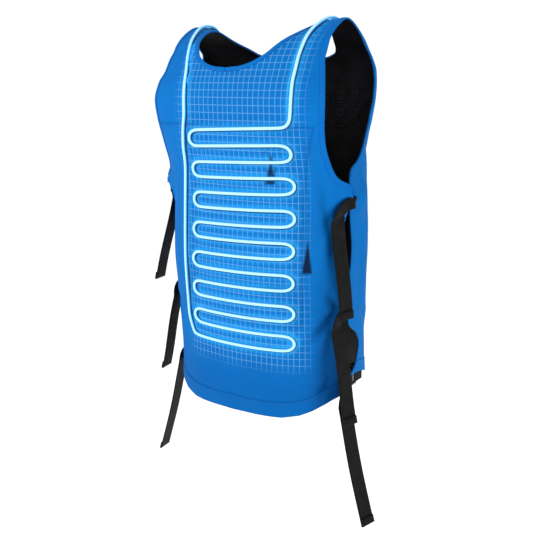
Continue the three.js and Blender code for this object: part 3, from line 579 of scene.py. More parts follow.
def close_shoulder(back: Sheet, front: Sheet, steps: int = 6) -> tuple[Sheet, Sheet]:
    """Return both panels' halves with rows that curve up to the shoulder seam between them.

    Args:
        back: The back's half, whose last row lies on the ridge.
        front: The front's half.
        steps: Rows up to the seam.

    Returns:
        The two longer halves.
    """
    seam = (back.points[-1] + front.points[-1]) / 2 + np.array([0, 0, CREST_RISE])
    made = []
    for sheet, facing in ((back, Facing.BACK), (front, Facing.FRONT)):
        last = sheet.points[-1]
        target = seam + np.array([0, facing.value * SEAM_GAP / 2, 0])
        leaving = unit(last - sheet.points[-2])
        reach = np.linalg.norm(target - last, axis=1, keepdims=True)
        arriving = np.array([0, -facing.value, 0.0])
        rows, cloth = [], []
        for t in np.linspace(0, 1, steps + 1)[1:]:
            a, b, c, d = hermite(t)
            rows.append(a * last + b * reach * leaving + c * target + d * reach * arriving)
            cloth.append(sheet.cloth[-1] + np.concatenate([0 * reach, reach * t], 1))
        repeat = [np.concatenate([a, np.repeat(a[-1:], steps, 0)]) for a in (sheet.turn, sheet.drop)]
        points = np.concatenate([sheet.points, np.array(rows)])
        made.append(Sheet(points, np.concatenate([sheet.cloth, np.array(cloth)]), *repeat, sheet.side))
    return made[0], made[1]


def smooth_shoulder(
    back: Sheet, front: Sheet, low: float = -0.040, blend: float = 0.028, rounds: int = 100
) -> tuple[Sheet, Sheet]:
    """Return both halves with their columns smoothed over the shoulder, so that no kink stays.

    Args:
        back: The back's half, whose last row is the seam.
        front: The front's half.
        low: Height where the smoothing begins.
        blend: Height over which it grows to its full strength.
        rounds: How often each point moves towards its neighbours.

    Returns:
        The two halves.
    """
    rows = len(back.points) - 1
    seam = (back.points[-1:] + front.points[-1:]) / 2
    line = np.concatenate([back.points[:-1], seam, front.points[:-1][::-1]])
    share = 0.5 * smooth_step(line[..., 2:], low, low + blend)
    for _ in range(rounds):
        line[1:-1] += share[1:-1] * ((line[:-2] + line[2:]) / 2 - line[1:-1])
    if back.side is Side.RIGHT:
        line[..., 2] += right_crest(line[..., 2])
    gap = np.array([0, SEAM_GAP / 2, 0])
    back.points[:] = line[:rows + 1]
    front.points[:] = line[rows:][::-1]
    back.points[-1] += gap
    front.points[-1] -= gap
    return back, front


def add_object(name: str, data: Optional[bpy.types.ID]) -> Object:
    """Return a new object of some data, linked to the scene."""
    obj = bpy.data.objects.new(name, data)
    bpy.context.scene.collection.objects.link(obj)
    return obj


def smooth(mesh: Mesh) -> None:
    """Shade every face of a mesh smooth."""
    for polygon in mesh.polygons:
        polygon.use_smooth = True


class MeshMaker:
    """Collects grids with cloth coordinates and attributes into one mesh."""

    def __init__(self, name: str) -> None:
        """Start an empty mesh of this name."""
        self.name = name
        self.verts: list[Array] = []
        self.faces: list[tuple[int, ...]] = []
        self.uvs: list[Array] = []
        self.extra: dict[str, list[Array]] = {}
        self.count = 0

    def grid(
        self, points: Array, cloth: Array, side: Side, facing: Facing,
        extra: Optional[dict[str, Array]] = None,
    ) -> None:
        """Add a grid whose x is positive, turned to its side with its faces outwards.

        Args:
            points: Rows by columns of points.
            cloth: Rows by columns of cloth coordinates.
            side: The side that it goes to.
            facing: The way that it faces.
            extra: Further values for each point.
        """
        placed = points.copy()
        placed[..., 0] *= side.value
        rows, columns = placed.shape[:2]
        self.verts.append(placed.reshape(-1, 3))
        self.uvs.append(cloth.reshape(-1, 2))
        for key, value in (extra or {}).items():
            self.extra.setdefault(key, []).append(value.reshape(-1))
        self.faces += cells(rows, columns, self.count, side.value * facing.value > 0)
        self.count += rows * columns

    def build(self, weld: float = 2e-6) -> Object:
        """Return the object of the welded mesh."""
        mesh = bpy.data.meshes.new(self.name)
        mesh.from_pydata(np.concatenate(self.verts).tolist(), [], self.faces)
        flat = np.concatenate(self.uvs)
        layer = mesh.uv_layers.new(name="cloth")
        corner = np.zeros(len(mesh.loops), dtype=np.int32)
        mesh.loops.foreach_get("vertex_index", corner)
        layer.data.foreach_set("uv", flat[corner].astype(np.float32).ravel())
        for key, values in self.extra.items():
            attribute = mesh.attributes.new(key, "FLOAT", "POINT")
            attribute.data.foreach_set("value", np.concatenate(values).astype(np.float32))
        work = bmesh.new()
        work.from_mesh(mesh)
        bmesh.ops.remove_doubles(work, verts=work.verts, dist=weld)
        bmesh.ops.dissolve_degenerate(work, edges=work.edges, dist=1e-7)
        work.to_mesh(mesh)
        work.free()
        smooth(mesh)
        return add_object(self.name, mesh)


def apply_modifiers(obj: Object) -> Object:
    """Make the modifiers' result the object's own plain mesh."""
    bpy.context.view_layer.update()
    graph = bpy.context.evaluated_depsgraph_get()
    evaluated = obj.evaluated_get(graph)
    mesh = bpy.data.meshes.new_from_object(evaluated, preserve_all_data_layers=True, depsgraph=graph)
    obj.modifiers.clear()
    old = obj.data
    obj.data = mesh
    mesh.name = obj.name
    if isinstance(old, Mesh):
        bpy.data.meshes.remove(old)
    return obj


def thicken(obj: Object, wall: float, offset: float = -1.0, inner_slot: int = 0) -> Object:
    """Give a skin its wall.

    Args:
        obj: The skin.
        wall: Its thickness in metres.
        offset: -1 for inwards, 1 for outwards, 0 for both.
        inner_slot: How many slots on the inner face's material lies.

    Returns:
        The same object with a plain closed mesh.
    """
    solid = obj.modifiers.new("wall", "SOLIDIFY")
    solid.thickness = wall
    solid.offset = offset
    solid.use_even_offset = False
    solid.use_quality_normals = True
    solid.material_offset = inner_slot
    solid.material_offset_rim = 0
    return apply_modifiers(obj)


def dress(obj: Object, *materials: Material) -> Object:
    """Give an object its materials, in the order of its slots."""
    obj.data.materials.clear()
    for material in materials:
        obj.data.materials.append(material)
    return obj


def clad(
    obj: Object, wall: float, slot: str, node: str, *materials: Material
) -> Object:
    """Dress a skin, give it its wall inwards, tie it to the body and hide its solid.

    Args:
        obj: The skin.
        wall: Its thickness in metres.
        slot: The record's material slot; not used.
        node: The solid that it stands for.
        materials: Its finish, and the inner face's where that is another.

    Returns:
        The same object.
    """
    dress(obj, *materials)
    thicken(obj, wall, inner_slot=len(materials) - 1)
    return settle(obj, slot, node)


def settle(obj: Object, slot: str, *nodes: str) -> Object:
    """Tie a finished piece to the body and hide the solids that it stands for."""
    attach(obj, "root")
    if nodes:
        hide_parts(*nodes)
    log.info("%s: %d faces", obj.name, len(obj.data.polygons))
    return obj


# Shader maths

Operand = Union["Value", float]


class Value:
    """A shader's number, on which Python's operators add Math nodes."""

    def __init__(self, shader: "Shader", socket: Socket) -> None:
        """Wrap a socket of a shader."""
        self.shader = shader
        self.socket = socket

    def math(self, operation: str, *others: Operand, first: Optional[Operand] = None) -> "Value":
        """Return a Math node's result on this value and others, with another value first if one is given."""
        inputs = [self, *others] if first is None else [first, self, *others]
        node = self.shader.add("ShaderNodeMath", {"operation": operation}, dict(enumerate(inputs)))
        return Value(self.shader, node.outputs[0])

    def __add__(self, other: Operand) -> "Value":
        """Return the sum."""
        return self.math("ADD", other)

    def __radd__(self, other: Operand) -> "Value":
        """Return the sum, turned round."""
        return self.math("ADD", first=other)

    def __sub__(self, other: Operand) -> "Value":
        """Return the difference."""
        return self.math("SUBTRACT", other)

    def __rsub__(self, other: Operand) -> "Value":
        """Return the difference, turned round."""
        return self.math("SUBTRACT", first=other)

    def __mul__(self, other: Operand) -> "Value":
        """Return the product."""
        return self.math("MULTIPLY", other)

    def __rmul__(self, other: Operand) -> "Value":
        """Return the product, turned round."""
        return self.math("MULTIPLY", first=other)

    def __truediv__(self, other: Operand) -> "Value":
        """Return the quotient."""
        return self.math("DIVIDE", other)

    def __pow__(self, other: Operand) -> "Value":
        """Return the power."""
        return self.math("POWER", other)

    def __abs__(self) -> "Value":
        """Return the size without its sign."""
        return self.math("ABSOLUTE")

    def sine(self) -> "Value":
        """Return the sine."""
        return self.math("SINE")

    def repeat(self, pitch: float) -> "Value":
        """Return the distance from the middle of the nearest repeat, from 0 to half the pitch."""
        return abs(self.math("PINGPONG", pitch / 2))

    def greatest(self, other: Operand) -> "Value":
        """Return the greater of two."""
        return self.math("MAXIMUM", other)

    def rise(self, low: float, high: float) -> "Value":
        """Return 0 below low and 1 above high, smooth between. A low above high falls instead."""
        settings = {"interpolation_type": "SMOOTHSTEP", "clamp": True}
        if low < high:
            ends = {1: low, 2: high, 3: 0.0, 4: 1.0}
        else:
            ends = {1: high, 2: low, 3: 1.0, 4: 0.0}
        node = self.shader.add("ShaderNodeMapRange", settings, {0: self, **ends})
        return Value(self.shader, node.outputs[0])


class Tree:
    """Builds a node tree."""

    def __init__(self, tree: bpy.types.NodeTree) -> None:
        """Wrap the tree."""
        self.tree = tree

    def link(self, source: Socket, target: Socket) -> None:
        """Join two sockets."""
        self.tree.links.new(source, target)

    def feed(self, target: Socket, value: object) -> None:
        """Link a value or a socket to an input, or set it to a plain value."""
        if isinstance(value, Value):
            self.link(value.socket, target)
        elif isinstance(value, Socket):
            self.link(value, target)
        else:
            target.default_value = value

    def add(self, kind: str, settings: Optional[dict] = None, sockets: Optional[dict] = None) -> Node:
        """Add a node, set its settings first and then its sockets.

        Args:
            kind: The node's type.
            settings: Properties of the node. stops gives a ramp's places and colours.
            sockets: Input names or numbers with their values or links.

        Returns:
            The node.
        """
        node = self.tree.nodes.new(kind)
        for key, value in (settings or {}).items():
            if key == "stops":
                elements = node.color_ramp.elements
                for i, (place, color) in enumerate(value):
                    element = elements[i] if i < len(elements) else elements.new(place)
                    element.position = place
                    element.color = color
            else:
                setattr(node, key, value)
        for key, value in (sockets or {}).items():
            self.feed(node.inputs[key], value)
        return node


class Shader(Tree):
    """Builds one material's node tree."""

    def __init__(self, name: str) -> None:
        """Start an empty material with a principled shader."""
        self.material = bpy.data.materials.new(name)
        self.material.use_nodes = True
        super().__init__(self.material.node_tree)
        self.tree.nodes.clear()
        self.output = self.add("ShaderNodeOutputMaterial")
        self.surface = self.add("ShaderNodeBsdfPrincipled")
        self.link(self.surface.outputs[0], self.output.inputs[0])

    def attribute(self, name: str) -> Value:
        """Return a mesh attribute's number."""
        node = self.add("ShaderNodeAttribute", {"attribute_name": name})
        return Value(self, node.outputs["Fac"])

    def cloth(self) -> tuple[Value, Value, Socket]:
        """Return the cloth coordinates across and up, and both as a vector."""
        uv = self.add("ShaderNodeUVMap", {"uv_map": "cloth"})
        parts = self.add("ShaderNodeSeparateXYZ", None, {0: uv.outputs[0]})
        return Value(self, parts.outputs[0]), Value(self, parts.outputs[1]), uv.outputs[0]

    def place(self) -> Socket:
        """Return the object coordinates as a vector."""
        return self.add("ShaderNodeTexCoord").outputs["Object"]

    def noise(
        self, vector: Socket, scale: float, detail: float = 2.0, rough: float = 0.5
    ) -> Value:
        """Return noise of about 0 to 1."""
        sockets = {"Vector": vector, "Scale": scale, "Detail": detail, "Roughness": rough}
        node = self.add("ShaderNodeTexNoise", {"noise_dimensions": "3D"}, sockets)
        return Value(self, node.outputs[0])

    def woven(self, across: Value, up: Value, pitch: float) -> Value:
        """Return the height of a plain weave."""
        return (across * (2 * math.pi / pitch)).sine() * (up * (2 * math.pi / pitch)).sine()

    def mix(self, share: Operand, low: object, high: object) -> Socket:
        """Return a mix of two colours."""
        node = self.add("ShaderNodeMix", {"data_type": "RGBA"}, {0: share, 6: low, 7: high})
        return node.outputs[2]

    def bump(self, height: Value, distance: float, strength: float = 1.0) -> None:
        """Feed a height to the surface's normal."""
        sockets = {"Height": height, "Distance": distance, "Strength": strength}
        node = self.add("ShaderNodeBump", None, sockets)
        self.link(node.outputs[0], self.surface.inputs["Normal"])

    def set(self, **sockets: object) -> None:
        """Set the principled shader's own sockets, with _ for a space."""
        for key, value in sockets.items():
            self.feed(self.surface.inputs[key.replace("_", " ")], value)


Color = tuple[float, float, float, float]


@dataclass(frozen=True)
class Finish:
    """A finish that paints itself on a new shader."""

    name: str = ""

    def build(self) -> Material:
        """Return the material."""
        shader = Shader(self.name)
        self.paint(shader)
        return shader.material

    def paint(self, shader: Shader) -> None:
        """Add the finish's nodes."""
        raise NotImplementedError


@dataclass(frozen=True)
class BlueCloth(Finish):
    """Smooth blue woven cloth, with a pale grid, the tube's painted glow and painted shade where the panel
    has them.
    """

    name: str = "blue cloth"
    color: Color = (0.002, 0.174, 0.565, 1)
    dark: Color = (0.001, 0.115, 0.430, 1)
    # Colour of the painted shade in the creases, low on the back and towards the right side.
    painted_shade_color: Color = (0.001, 0.070, 0.290, 1)
    glow: Color = (0.020, 0.420, 0.860, 1)
    line: Color = (0.180, 0.450, 0.800, 1)
    light: Color = (0.02, 0.32, 0.85, 1)
    # Colour of the painted shade inside the pocket's gaping slits.
    gape: Color = (0.004, 0.018, 0.060, 1)
    grid_across: float = 0.0098
    grid_up: float = 0.0124
    line_wide: float = 0.0009
    thread: float = 0.0007
    even_share: float = 0.72
    shade_share: float = 0.55
    glow_share: float = 0.85
    line_share: float = 0.75
    emission: float = 0.20
    lit: bool = False

    def paint(self, shader: Shader) -> None:
        """Add the finish's nodes."""
        across, up, vector = shader.cloth()
        mottle = shader.noise(vector, 14.0, 3.0)
        color = shader.mix(mottle.rise(0.25, 0.75), self.dark, self.color)
        color = shader.mix(self.even_share, color, self.color)
        if self.lit:
            glow = shader.attribute("glow")
            # Painted shade: darker in the creases, low on the back and towards the right side edge.
            color = shader.mix(shader.attribute("fold"), color, self.painted_shade_color)
            color = shader.mix(shader.attribute("shade") * self.shade_share, color, self.dark)
            color = shader.mix(glow * self.glow_share, color, self.glow)
            columns = across.repeat(self.grid_across).rise(self.line_wide, 0.0)
            rows = up.repeat(self.grid_up).rise(self.line_wide, 0.0)
            lines = columns.greatest(rows) * shader.attribute("grid")
            color = shader.mix(lines * self.line_share, color, self.line)
            # Painted shade inside the pocket's gaping slits.
            color = shader.mix(shader.attribute("opening"), color, self.gape)
            shader.set(Emission_Color=shader.mix(glow, (0, 0, 0, 1), self.light))
            shader.set(Emission_Strength=self.emission)
        weave = shader.woven(across, up, self.thread)
        crumple = shader.noise(vector, 38.0, 3.0, 0.55)
        shader.bump(weave * 0.12 + crumple * 1.5, 0.0004, 0.6)
        shader.set(Base_Color=color, Roughness=0.66 + 0.12 * mottle, Specular_IOR_Level=0.06)


@dataclass(frozen=True)
class BlackLining(Finish):
    """Black lining with a faint mesh weave, quilted in rounded squares where the attribute says so."""

    name: str = "black lining"
    color: Color = (0.0022, 0.0022, 0.0030, 1)
    light: Color = (0.0065, 0.0065, 0.0090, 1)
    square: float = 0.032
    ring: float = 0.0055
    mesh: float = 0.0016
    quilted: bool = True

    def paint(self, shader: Shader) -> None:
        """Add the finish's nodes."""
        across, up, vector = shader.cloth()
        cloudy = shader.noise(vector, 22.0, 3.0)
        color = shader.mix(cloudy.rise(0.35, 0.7), self.color, self.light)
        knit = shader.woven(across, up, self.mesh)
        height = knit * 0.08 + cloudy * 1.2
        if self.quilted:
            half = self.square / 2
            x = half - across.repeat(self.square)
            y = half - up.repeat(self.square)
            corner = (x.greatest(0.0) ** 4 + y.greatest(0.0) ** 4) ** 0.25
            rings = corner.repeat(self.ring * 2)
            puff = rings.rise(0.0, self.ring * 0.55) * (half * 0.93 - corner).rise(-0.0005, 0.0015)
            quilt = shader.attribute("quilt")
            height = height + puff * quilt * 3.2
            # Painted highlight: the quilting's raised rings are painted lighter.
            color = shader.mix(puff * quilt * 0.35, color, self.light)
        shader.bump(height, 0.0006, 0.8)
        shader.set(Base_Color=color, Roughness=0.58, Specular_IOR_Level=0.09)


@dataclass(frozen=True)
class BlackWebbing(Finish):
    """Woven polypropylene strap with fine ribs along it."""

    name: str = "black webbing"
    color: Color = (0.005, 0.005, 0.0054, 1)
    light: Color = (0.010, 0.010, 0.0106, 1)
    rib: float = 0.0017
    pick: float = 0.0021

    def paint(self, shader: Shader) -> None:
        """Add the finish's nodes."""
        across, up, vector = shader.cloth()
        ribs = across.repeat(self.rib) * (2 / self.rib)
        picks = ((up + across * 0.6) * (2 * math.pi / self.pick)).sine()
        wear = shader.noise(vector, 60.0, 3.0)
        color = shader.mix(wear.rise(0.3, 0.8), self.color, self.light)
        shader.bump(ribs * 0.5 + picks * 0.25, 0.0004, 0.8)
        shader.set(Base_Color=color, Roughness=0.66, Specular_IOR_Level=0.11)


@dataclass(frozen=True)
class BlackPlastic(Finish):
    """Satin moulded plastic of the buckles."""

    name: str = "black plastic"
    color: Color = (0.016, 0.016, 0.018, 1)

    def paint(self, shader: Shader) -> None:
        """Add the finish's nodes."""
        grain = shader.noise(shader.place(), 900.0, 2.0)
        shader.bump(grain, 0.0001, 0.5)
        shader.set(Base_Color=self.color, Roughness=0.30 + 0.12 * grain)


@dataclass(frozen=True)
class PaleTube(Finish):
    """Clear pale tube whose lit coolant is a painted glow: emissive, brightest along its top and fading to
    blue at the cloth.
    """

    name: str = "pale tube"
    painted_glow_top: Color = (0.40, 0.76, 1.0, 1)
    edge: Color = (0.04, 0.42, 0.85, 1)

    def paint(self, shader: Shader) -> None:
        """Add the finish's nodes."""
        height = shader.attribute("height")
        # Painted glow: brighter along the tube's top.
        color = shader.mix(height.rise(0.35, 0.85), self.edge, self.painted_glow_top)
        shader.set(Base_Color=color, Emission_Color=color, Emission_Strength=0.30, Roughness=0.45)


@dataclass(frozen=True)
class Thread(Finish):
    """Sewing thread."""

    name: str = "blue thread"
    color: Color = (0.005, 0.120, 0.500, 1)

    def paint(self, shader: Shader) -> None:
        """Add the finish's nodes."""
        twist = shader.noise(shader.place(), 1500.0, 1.0)
        shader.set(Base_Color=shader.mix(twist, self.color, tuple(0.8 * c for c in self.color[:3]) + (1,)))
        shader.set(Roughness=0.6)


# Stitches and ribs by Geometry Nodes

class RepeatTree(Tree):
    """A Geometry Nodes tree that sets a small piece at even steps along each edge line of a mesh."""

    def __init__(self, name: str, material: Material) -> None:
        """Build the tree.

        Args:
            name: The tree's name.
            material: The finish of the repeated piece.
        """
        super().__init__(bpy.data.node_groups.new(name, "GeometryNodeTree"))
        face = self.tree.interface
        face.new_socket("Geometry", in_out="INPUT", socket_type="NodeSocketGeometry")
        for title, start in (("Pitch", 0.003), ("Length", 0.002), ("Width", 0.0006), ("Height", 0.0004)):
            face.new_socket(title, in_out="INPUT", socket_type="NodeSocketFloat").default_value = start
        face.new_socket("Geometry", in_out="OUTPUT", socket_type="NodeSocketGeometry")
        source = self.add("NodeGroupInput").outputs
        line = self.add("GeometryNodeMeshToCurve", None, {"Mesh": source["Geometry"]})
        sockets = {"Curve": line.outputs[0], "Length": source["Pitch"]}
        even = self.add("GeometryNodeResampleCurve", {"mode": "LENGTH"}, sockets)
        points = self.add("GeometryNodeCurveToPoints", {"mode": "EVALUATED"}, {"Curve": even.outputs[0]})
        align = "FunctionNodeAlignRotationToVector"
        tilt = self.add(align, {"axis": "X"}, {"Vector": points.outputs["Tangent"]})
        normal = self.add("GeometryNodeInputNamedAttribute", {"data_type": "FLOAT_VECTOR"}, {"Name": "up"})
        sockets = {"Rotation": tilt.outputs[0], "Vector": normal.outputs[0]}
        face_up = self.add(align, {"axis": "Z", "pivot_axis": "X"}, sockets)
        sockets = {"X": source["Length"], "Y": source["Width"], "Z": source["Height"]}
        size = self.add("ShaderNodeCombineXYZ", None, sockets)
        seed = self.add("GeometryNodeMeshIcoSphere", None, {"Radius": 0.5, "Subdivisions": 1})
        placed = self.add("GeometryNodeInstanceOnPoints", None, {
            "Points": points.outputs[0], "Instance": seed.outputs[0],
            "Rotation": face_up.outputs[0], "Scale": size.outputs[0],
        })
        real = self.add("GeometryNodeRealizeInstances", None, {0: placed.outputs[0]})
        done = self.add("GeometryNodeSetMaterial", None, {"Geometry": real.outputs[0], "Material": material})
        self.add("NodeGroupOutput", None, {0: done.outputs[0]})

    def run(self, obj: Object, **sizes: float) -> Object:
        """Turn an object of edge lines into the repeated pieces.

        Args:
            obj: The lines, with an up direction at each point.
            sizes: Values of the tree's named inputs.

        Returns:
            The same object with a plain mesh.
        """
        modifier = obj.modifiers.new("repeat", "NODES")
        modifier.node_group = self.tree
        for item in self.tree.interface.items_tree:
            if item.item_type == "SOCKET" and item.in_out == "INPUT" and item.name.lower() in sizes:
                modifier[item.identifier] = sizes[item.name.lower()]
        return apply_modifiers(obj)


def line_object(name: str, lines: Sequence[tuple[Array, Array]]) -> Object:
    """Return an object of edge lines.

    Args:
        name: The object's name.
        lines: For each line its points and the up directions at them.

    Returns:
        The object.
    """
    verts, edges, ups = [], [], []
    for points, up in lines:
        base = len(verts)
        verts += points.tolist()
        ups.append(up)
        edges += [(base + i, base + i + 1) for i in range(len(points) - 1)]
    mesh = bpy.data.meshes.new(name)
    mesh.from_pydata(verts, edges, [])
    attribute = mesh.attributes.new("up", "FLOAT_VECTOR", "POINT")
    attribute.data.foreach_set("vector", np.concatenate(ups).astype(np.float32).ravel())
    return add_object(name, mesh)


def grid_normals(points: Array, facing: Facing) -> Array:
    """Return unit normals of a grid whose x is positive."""
    up = np.gradient(points, axis=0)
    across = np.gradient(points, axis=1)
    normal = np.cross(up, across) * facing.value
    size = np.linalg.norm(normal, axis=-1, keepdims=True)
    return normal / np.maximum(size, 1e-12)


# The coolant tube

@dataclass
class CoolantTube:
    """The long tube that winds over the back and up over both shoulders."""

    radius: float = 0.0026
    tilt: float = 0.009
    clearance: float = 0.0006
    pitch: float = 0.0268
    rows: int = 15
    top: float = 0.2567
    right_ends: Pair = (0.569, 0.546)
    left_ends: Pair = (0.304, 0.384)
    right_riser: tuple[Pair, ...] = (
        (0.003, 0.680), (0.018, 0.660), (0.044, 0.640), (0.073, 0.634), (0.119, 0.640), (0.185, 0.654),
        (0.235, 0.645),
    )
    left_riser: tuple[Pair, ...] = (
        (0.003, 0.675), (0.016, 0.636), (0.040, 0.568), (0.066, 0.516), (0.100, 0.461), (0.141, 0.428),
        (0.190, 0.420), (0.290, 0.452), (0.450, 0.524), (0.580, 0.535), (0.670, 0.534), (0.780, 0.526),
    )
    front_drops: tuple[float, ...] = (0.002, 0.006, 0.012, 0.020, 0.028)
    front_lift: float = 0.002
    ridge_lift: float = 0.0025
    ridge_y: float = 0.004
    route_step: float = 0.004
    sides: int = 14
    # Half width and shift of the dark strip of painted shadow under the tube.
    tube_shadow_half: float = 0.0036
    tube_shadow_shift: tuple[float, float, float] = (-0.0011, 0.0, -0.0013)

    def route(self) -> Array:
        """Return the route on the back as signed reach, positive on the right, and drop, in metres."""
        bend = self.pitch / 2
        top = self.top * BACK_LENGTH
        right = np.linspace(*self.right_ends, self.rows) * HALF_WIDTH
        left = -np.linspace(*self.left_ends, self.rows) * HALF_WIDTH
        found: list[Pair] = []

        def riser(table: Sequence[Pair]) -> list[Pair]:
            """Return a riser's points from the ridge down."""
            reach = SmoothColumn([r[0] for r in table], [r[1] for r in table])
            first, last = table[0][0], table[-1][0]
            drops = np.linspace(first, last, round((last - first) * BACK_LENGTH / self.route_step))
            return [(float(reach(d)) * HALF_WIDTH, d * BACK_LENGTH) for d in drops]

        def corner(x: float, z: float, start: float, end: float) -> None:
            """Add a bend's points."""
            for angle in np.radians(np.linspace(start, end, 12)[1:-1]):
                found.append((x + bend * math.cos(angle), z + bend * math.sin(angle)))

        found += riser(self.right_riser)
        corner(right[0], top - bend, 0, 90)
        for k in range(self.rows):
            z = top + k * self.pitch
            ends = (left[k], right[k]) if k % 2 else (right[k], left[k])
            found += [(x, z) for x in np.linspace(*ends, 40)]
            if k == self.rows - 1:
                break
            if k % 2:
                corner(right[k], z + bend, -90, 90)
            else:
                corner(left[k], z + bend, 270, 90)
        corner(left[-1] - bend / 2, top + (self.rows - 1) * self.pitch - bend, 90, 180)
        found += [(-x, z) for x, z in reversed(riser(self.left_riser))]
        route = np.array(found)
        share = np.clip((route[:, 1] - top) / ((self.rows - 1) * self.pitch), 0, 1)
        held = smooth_step(route[:, 1], top - 4 * bend, top - bend)
        route[:, 1] -= self.tilt * held * (1 - share) * route[:, 0] / HALF_WIDTH
        return route

    def on_back(self, lift: float) -> Array:
        """Return the route's points in space on the back, lifted off the cloth."""
        route = self.route()
        drop = route[:, 1] / BACK_LENGTH
        turn = BACK.turn_at_reach(np.abs(route[:, 0]), drop)
        points = BACK.above(turn, drop, lift + pocket_lift(turn, drop))
        points[:, 0] *= -np.sign(route[:, 0])
        return points

    def centre_line(self) -> tuple[Array, Array]:
        """Return the tube's middle line and its up directions."""
        lift = self.radius + self.clearance
        on_back = self.on_back(lift)
        base = self.on_back(0.0)

        def over(table: Sequence[Pair], side: Side) -> tuple[Array, Array]:
            """Return the stretch over a shoulder, from the ridge to the front."""
            reach = table[0][1] * HALF_WIDTH
            drops = np.array(self.front_drops)
            turn = FRONT.turn_at_reach(reach, drops)
            high = FRONT.above(turn, drops, lift + self.front_lift)
            low = FRONT.above(turn, drops, 0.0)
            top = np.array([[reach, self.ridge_y, CREST_RISE + lift + self.ridge_lift]])
            points = np.concatenate([top, high])
            ups = np.concatenate([np.array([[0, 0, 1.0]]), high - low])
            points[:, 0] *= side.value
            ups[:, 0] *= side.value
            return points, ups

        right, right_up = over(self.right_riser, Side.RIGHT)
        left, left_up = over(self.left_riser, Side.LEFT)
        points = np.concatenate([right[::-1], on_back, left])
        ups = np.concatenate([right_up[::-1], on_back - base, left_up])
        points[:, 2] += right_crest(points[:, 2]) * (points[:, 0] < 0)
        return relax(points, 6), unit(ups)

    def along_route(self, name: str, section: Array, shift: Sequence[float]) -> Object:
        """Return a section swept along the tube's route.

        Args:
            name: The object's name.
            section: Points of the section, across and up, in metres.
            shift: How far the route is moved first.

        Returns:
            The object, with the section's height from 0 to 1 as an attribute.
        """
        line, ups = self.centre_line()
        along = unit(np.gradient(line, axis=0))
        across = unit(np.cross(along, ups))
        ups = np.cross(across, along)
        ring = across[:, None, :] * section[None, :, :1] + ups[:, None, :] * section[None, :, 1:]
        verts = (line[:, None, :] + np.array(shift) + ring).reshape(-1, 3)
        n = len(section)
        faces = [
            (i * n + j, i * n + (j + 1) % n, (i + 1) * n + (j + 1) % n, (i + 1) * n + j)
            for i in range(len(line) - 1) for j in range(n)
        ]
        faces += [tuple(range(n))[::-1], tuple(range((len(line) - 1) * n, len(line) * n))]
        mesh = bpy.data.meshes.new(name)
        mesh.from_pydata(verts.tolist(), [], faces)
        low, high = section[:, 1].min(), section[:, 1].max()
        height = np.tile((section[:, 1] - low) / (high - low), len(line))
        mesh.attributes.new("height", "FLOAT", "POINT").data.foreach_set("value", height.astype(np.float32))
        work = bmesh.new()
        work.from_mesh(mesh)
        bmesh.ops.recalc_face_normals(work, faces=work.faces)
        work.to_mesh(mesh)
        work.free()
        smooth(mesh)
        return add_object(name, mesh)

    def build(self, material: Material, tube_shadow: Material) -> None:
        """Build the tube and the dark strip that it lies on, a painted shadow along its lower right side."""
        angles = np.linspace(0, 2 * math.pi, self.sides, endpoint=False)
        round_section = np.stack([np.cos(angles), np.sin(angles)], 1) * self.radius
        tube = dress(self.along_route("coolant_tube", round_section, (0, 0, 0)), material)
        settle(tube, "pale_tube", "cooling_tube")
        # A flat dark strip under the tube, moved to its lower right: a painted shadow put in as a sheet.
        flat = np.stack([np.cos(angles[::2]) * self.tube_shadow_half, np.sin(angles[::2]) * 0.0005 - self.radius], 1)
        settle(dress(self.along_route("tube_shadow_strip", flat, self.tube_shadow_shift), tube_shadow), "blue_cloth")

    def distance(self, points: Array, shift: Sequence[float] = (0.0, 0.0, 0.0)) -> Array:
        """Return how far each point lies from the tube's middle line, moved by a shift."""
        line = self.centre_line()[0] + np.array(shift)
        parts = np.array_split(points, math.ceil(len(points) / 2000))
        return np.concatenate([
            np.linalg.norm(part[:, None, :] - line[None, ::2, :], axis=-1).min(axis=1) for part in parts
        ])


# The garment

@dataclass(frozen=True)
class Light:
    """Where the tube's painted glow, its painted shade, the grid and the painted shade in the creases, low on
    the back and towards the right side lie. Lengths in metres.
    """

    glow_core: float = 0.0035
    glow_fade: float = 0.0058
    shade_shift: tuple[float, float, float] = (-0.0030, 0.0, -0.0042)
    shade_edge: Pair = (0.0035, 0.0060)
    shade_start: Pair = (0.0, 0.004)
    grid_across: tuple[float, float, float, float] = (-0.158, -0.128, 0.088, 0.114)
    grid_drops: tuple[float, float, float, float] = (0.012, 0.05, 0.845, 0.885)
    full_shade_depth: float = 0.0045
    fold_dark: float = 0.28
    low_dark: float = 0.40
    low_drops: Pair = (0.78, 0.95)
    side_shade: float = 0.42
    side_reach: Pair = (0.135, 0.175)
    side_drops: Pair = (0.52, 0.78)
    deepest_shade: float = 0.8


class Gape(NamedTuple):
    """Where painted shade darkens a gaping slit at the pocket's right edge: reach, height from and to, width
    and lean.
    """

    x: float
    top: float
    low: float
    wide: float
    lean: float


LIGHT = Light()
# The gaping slits whose insides carry painted shade.
GAPES = (Gape(0.087, -0.212, -0.258, 0.016, 0.40), Gape(0.138, -0.352, -0.408, 0.014, 0.05))


@dataclass
class Finishes:
    """All finishes of the vest."""

    lit_cloth: Material
    cloth: Material
    tape: Material
    lining: Material
    inner: Material
    webbing: Material
    plastic: Material
    tube: Material
    thread: Material
    tube_shadow: Material


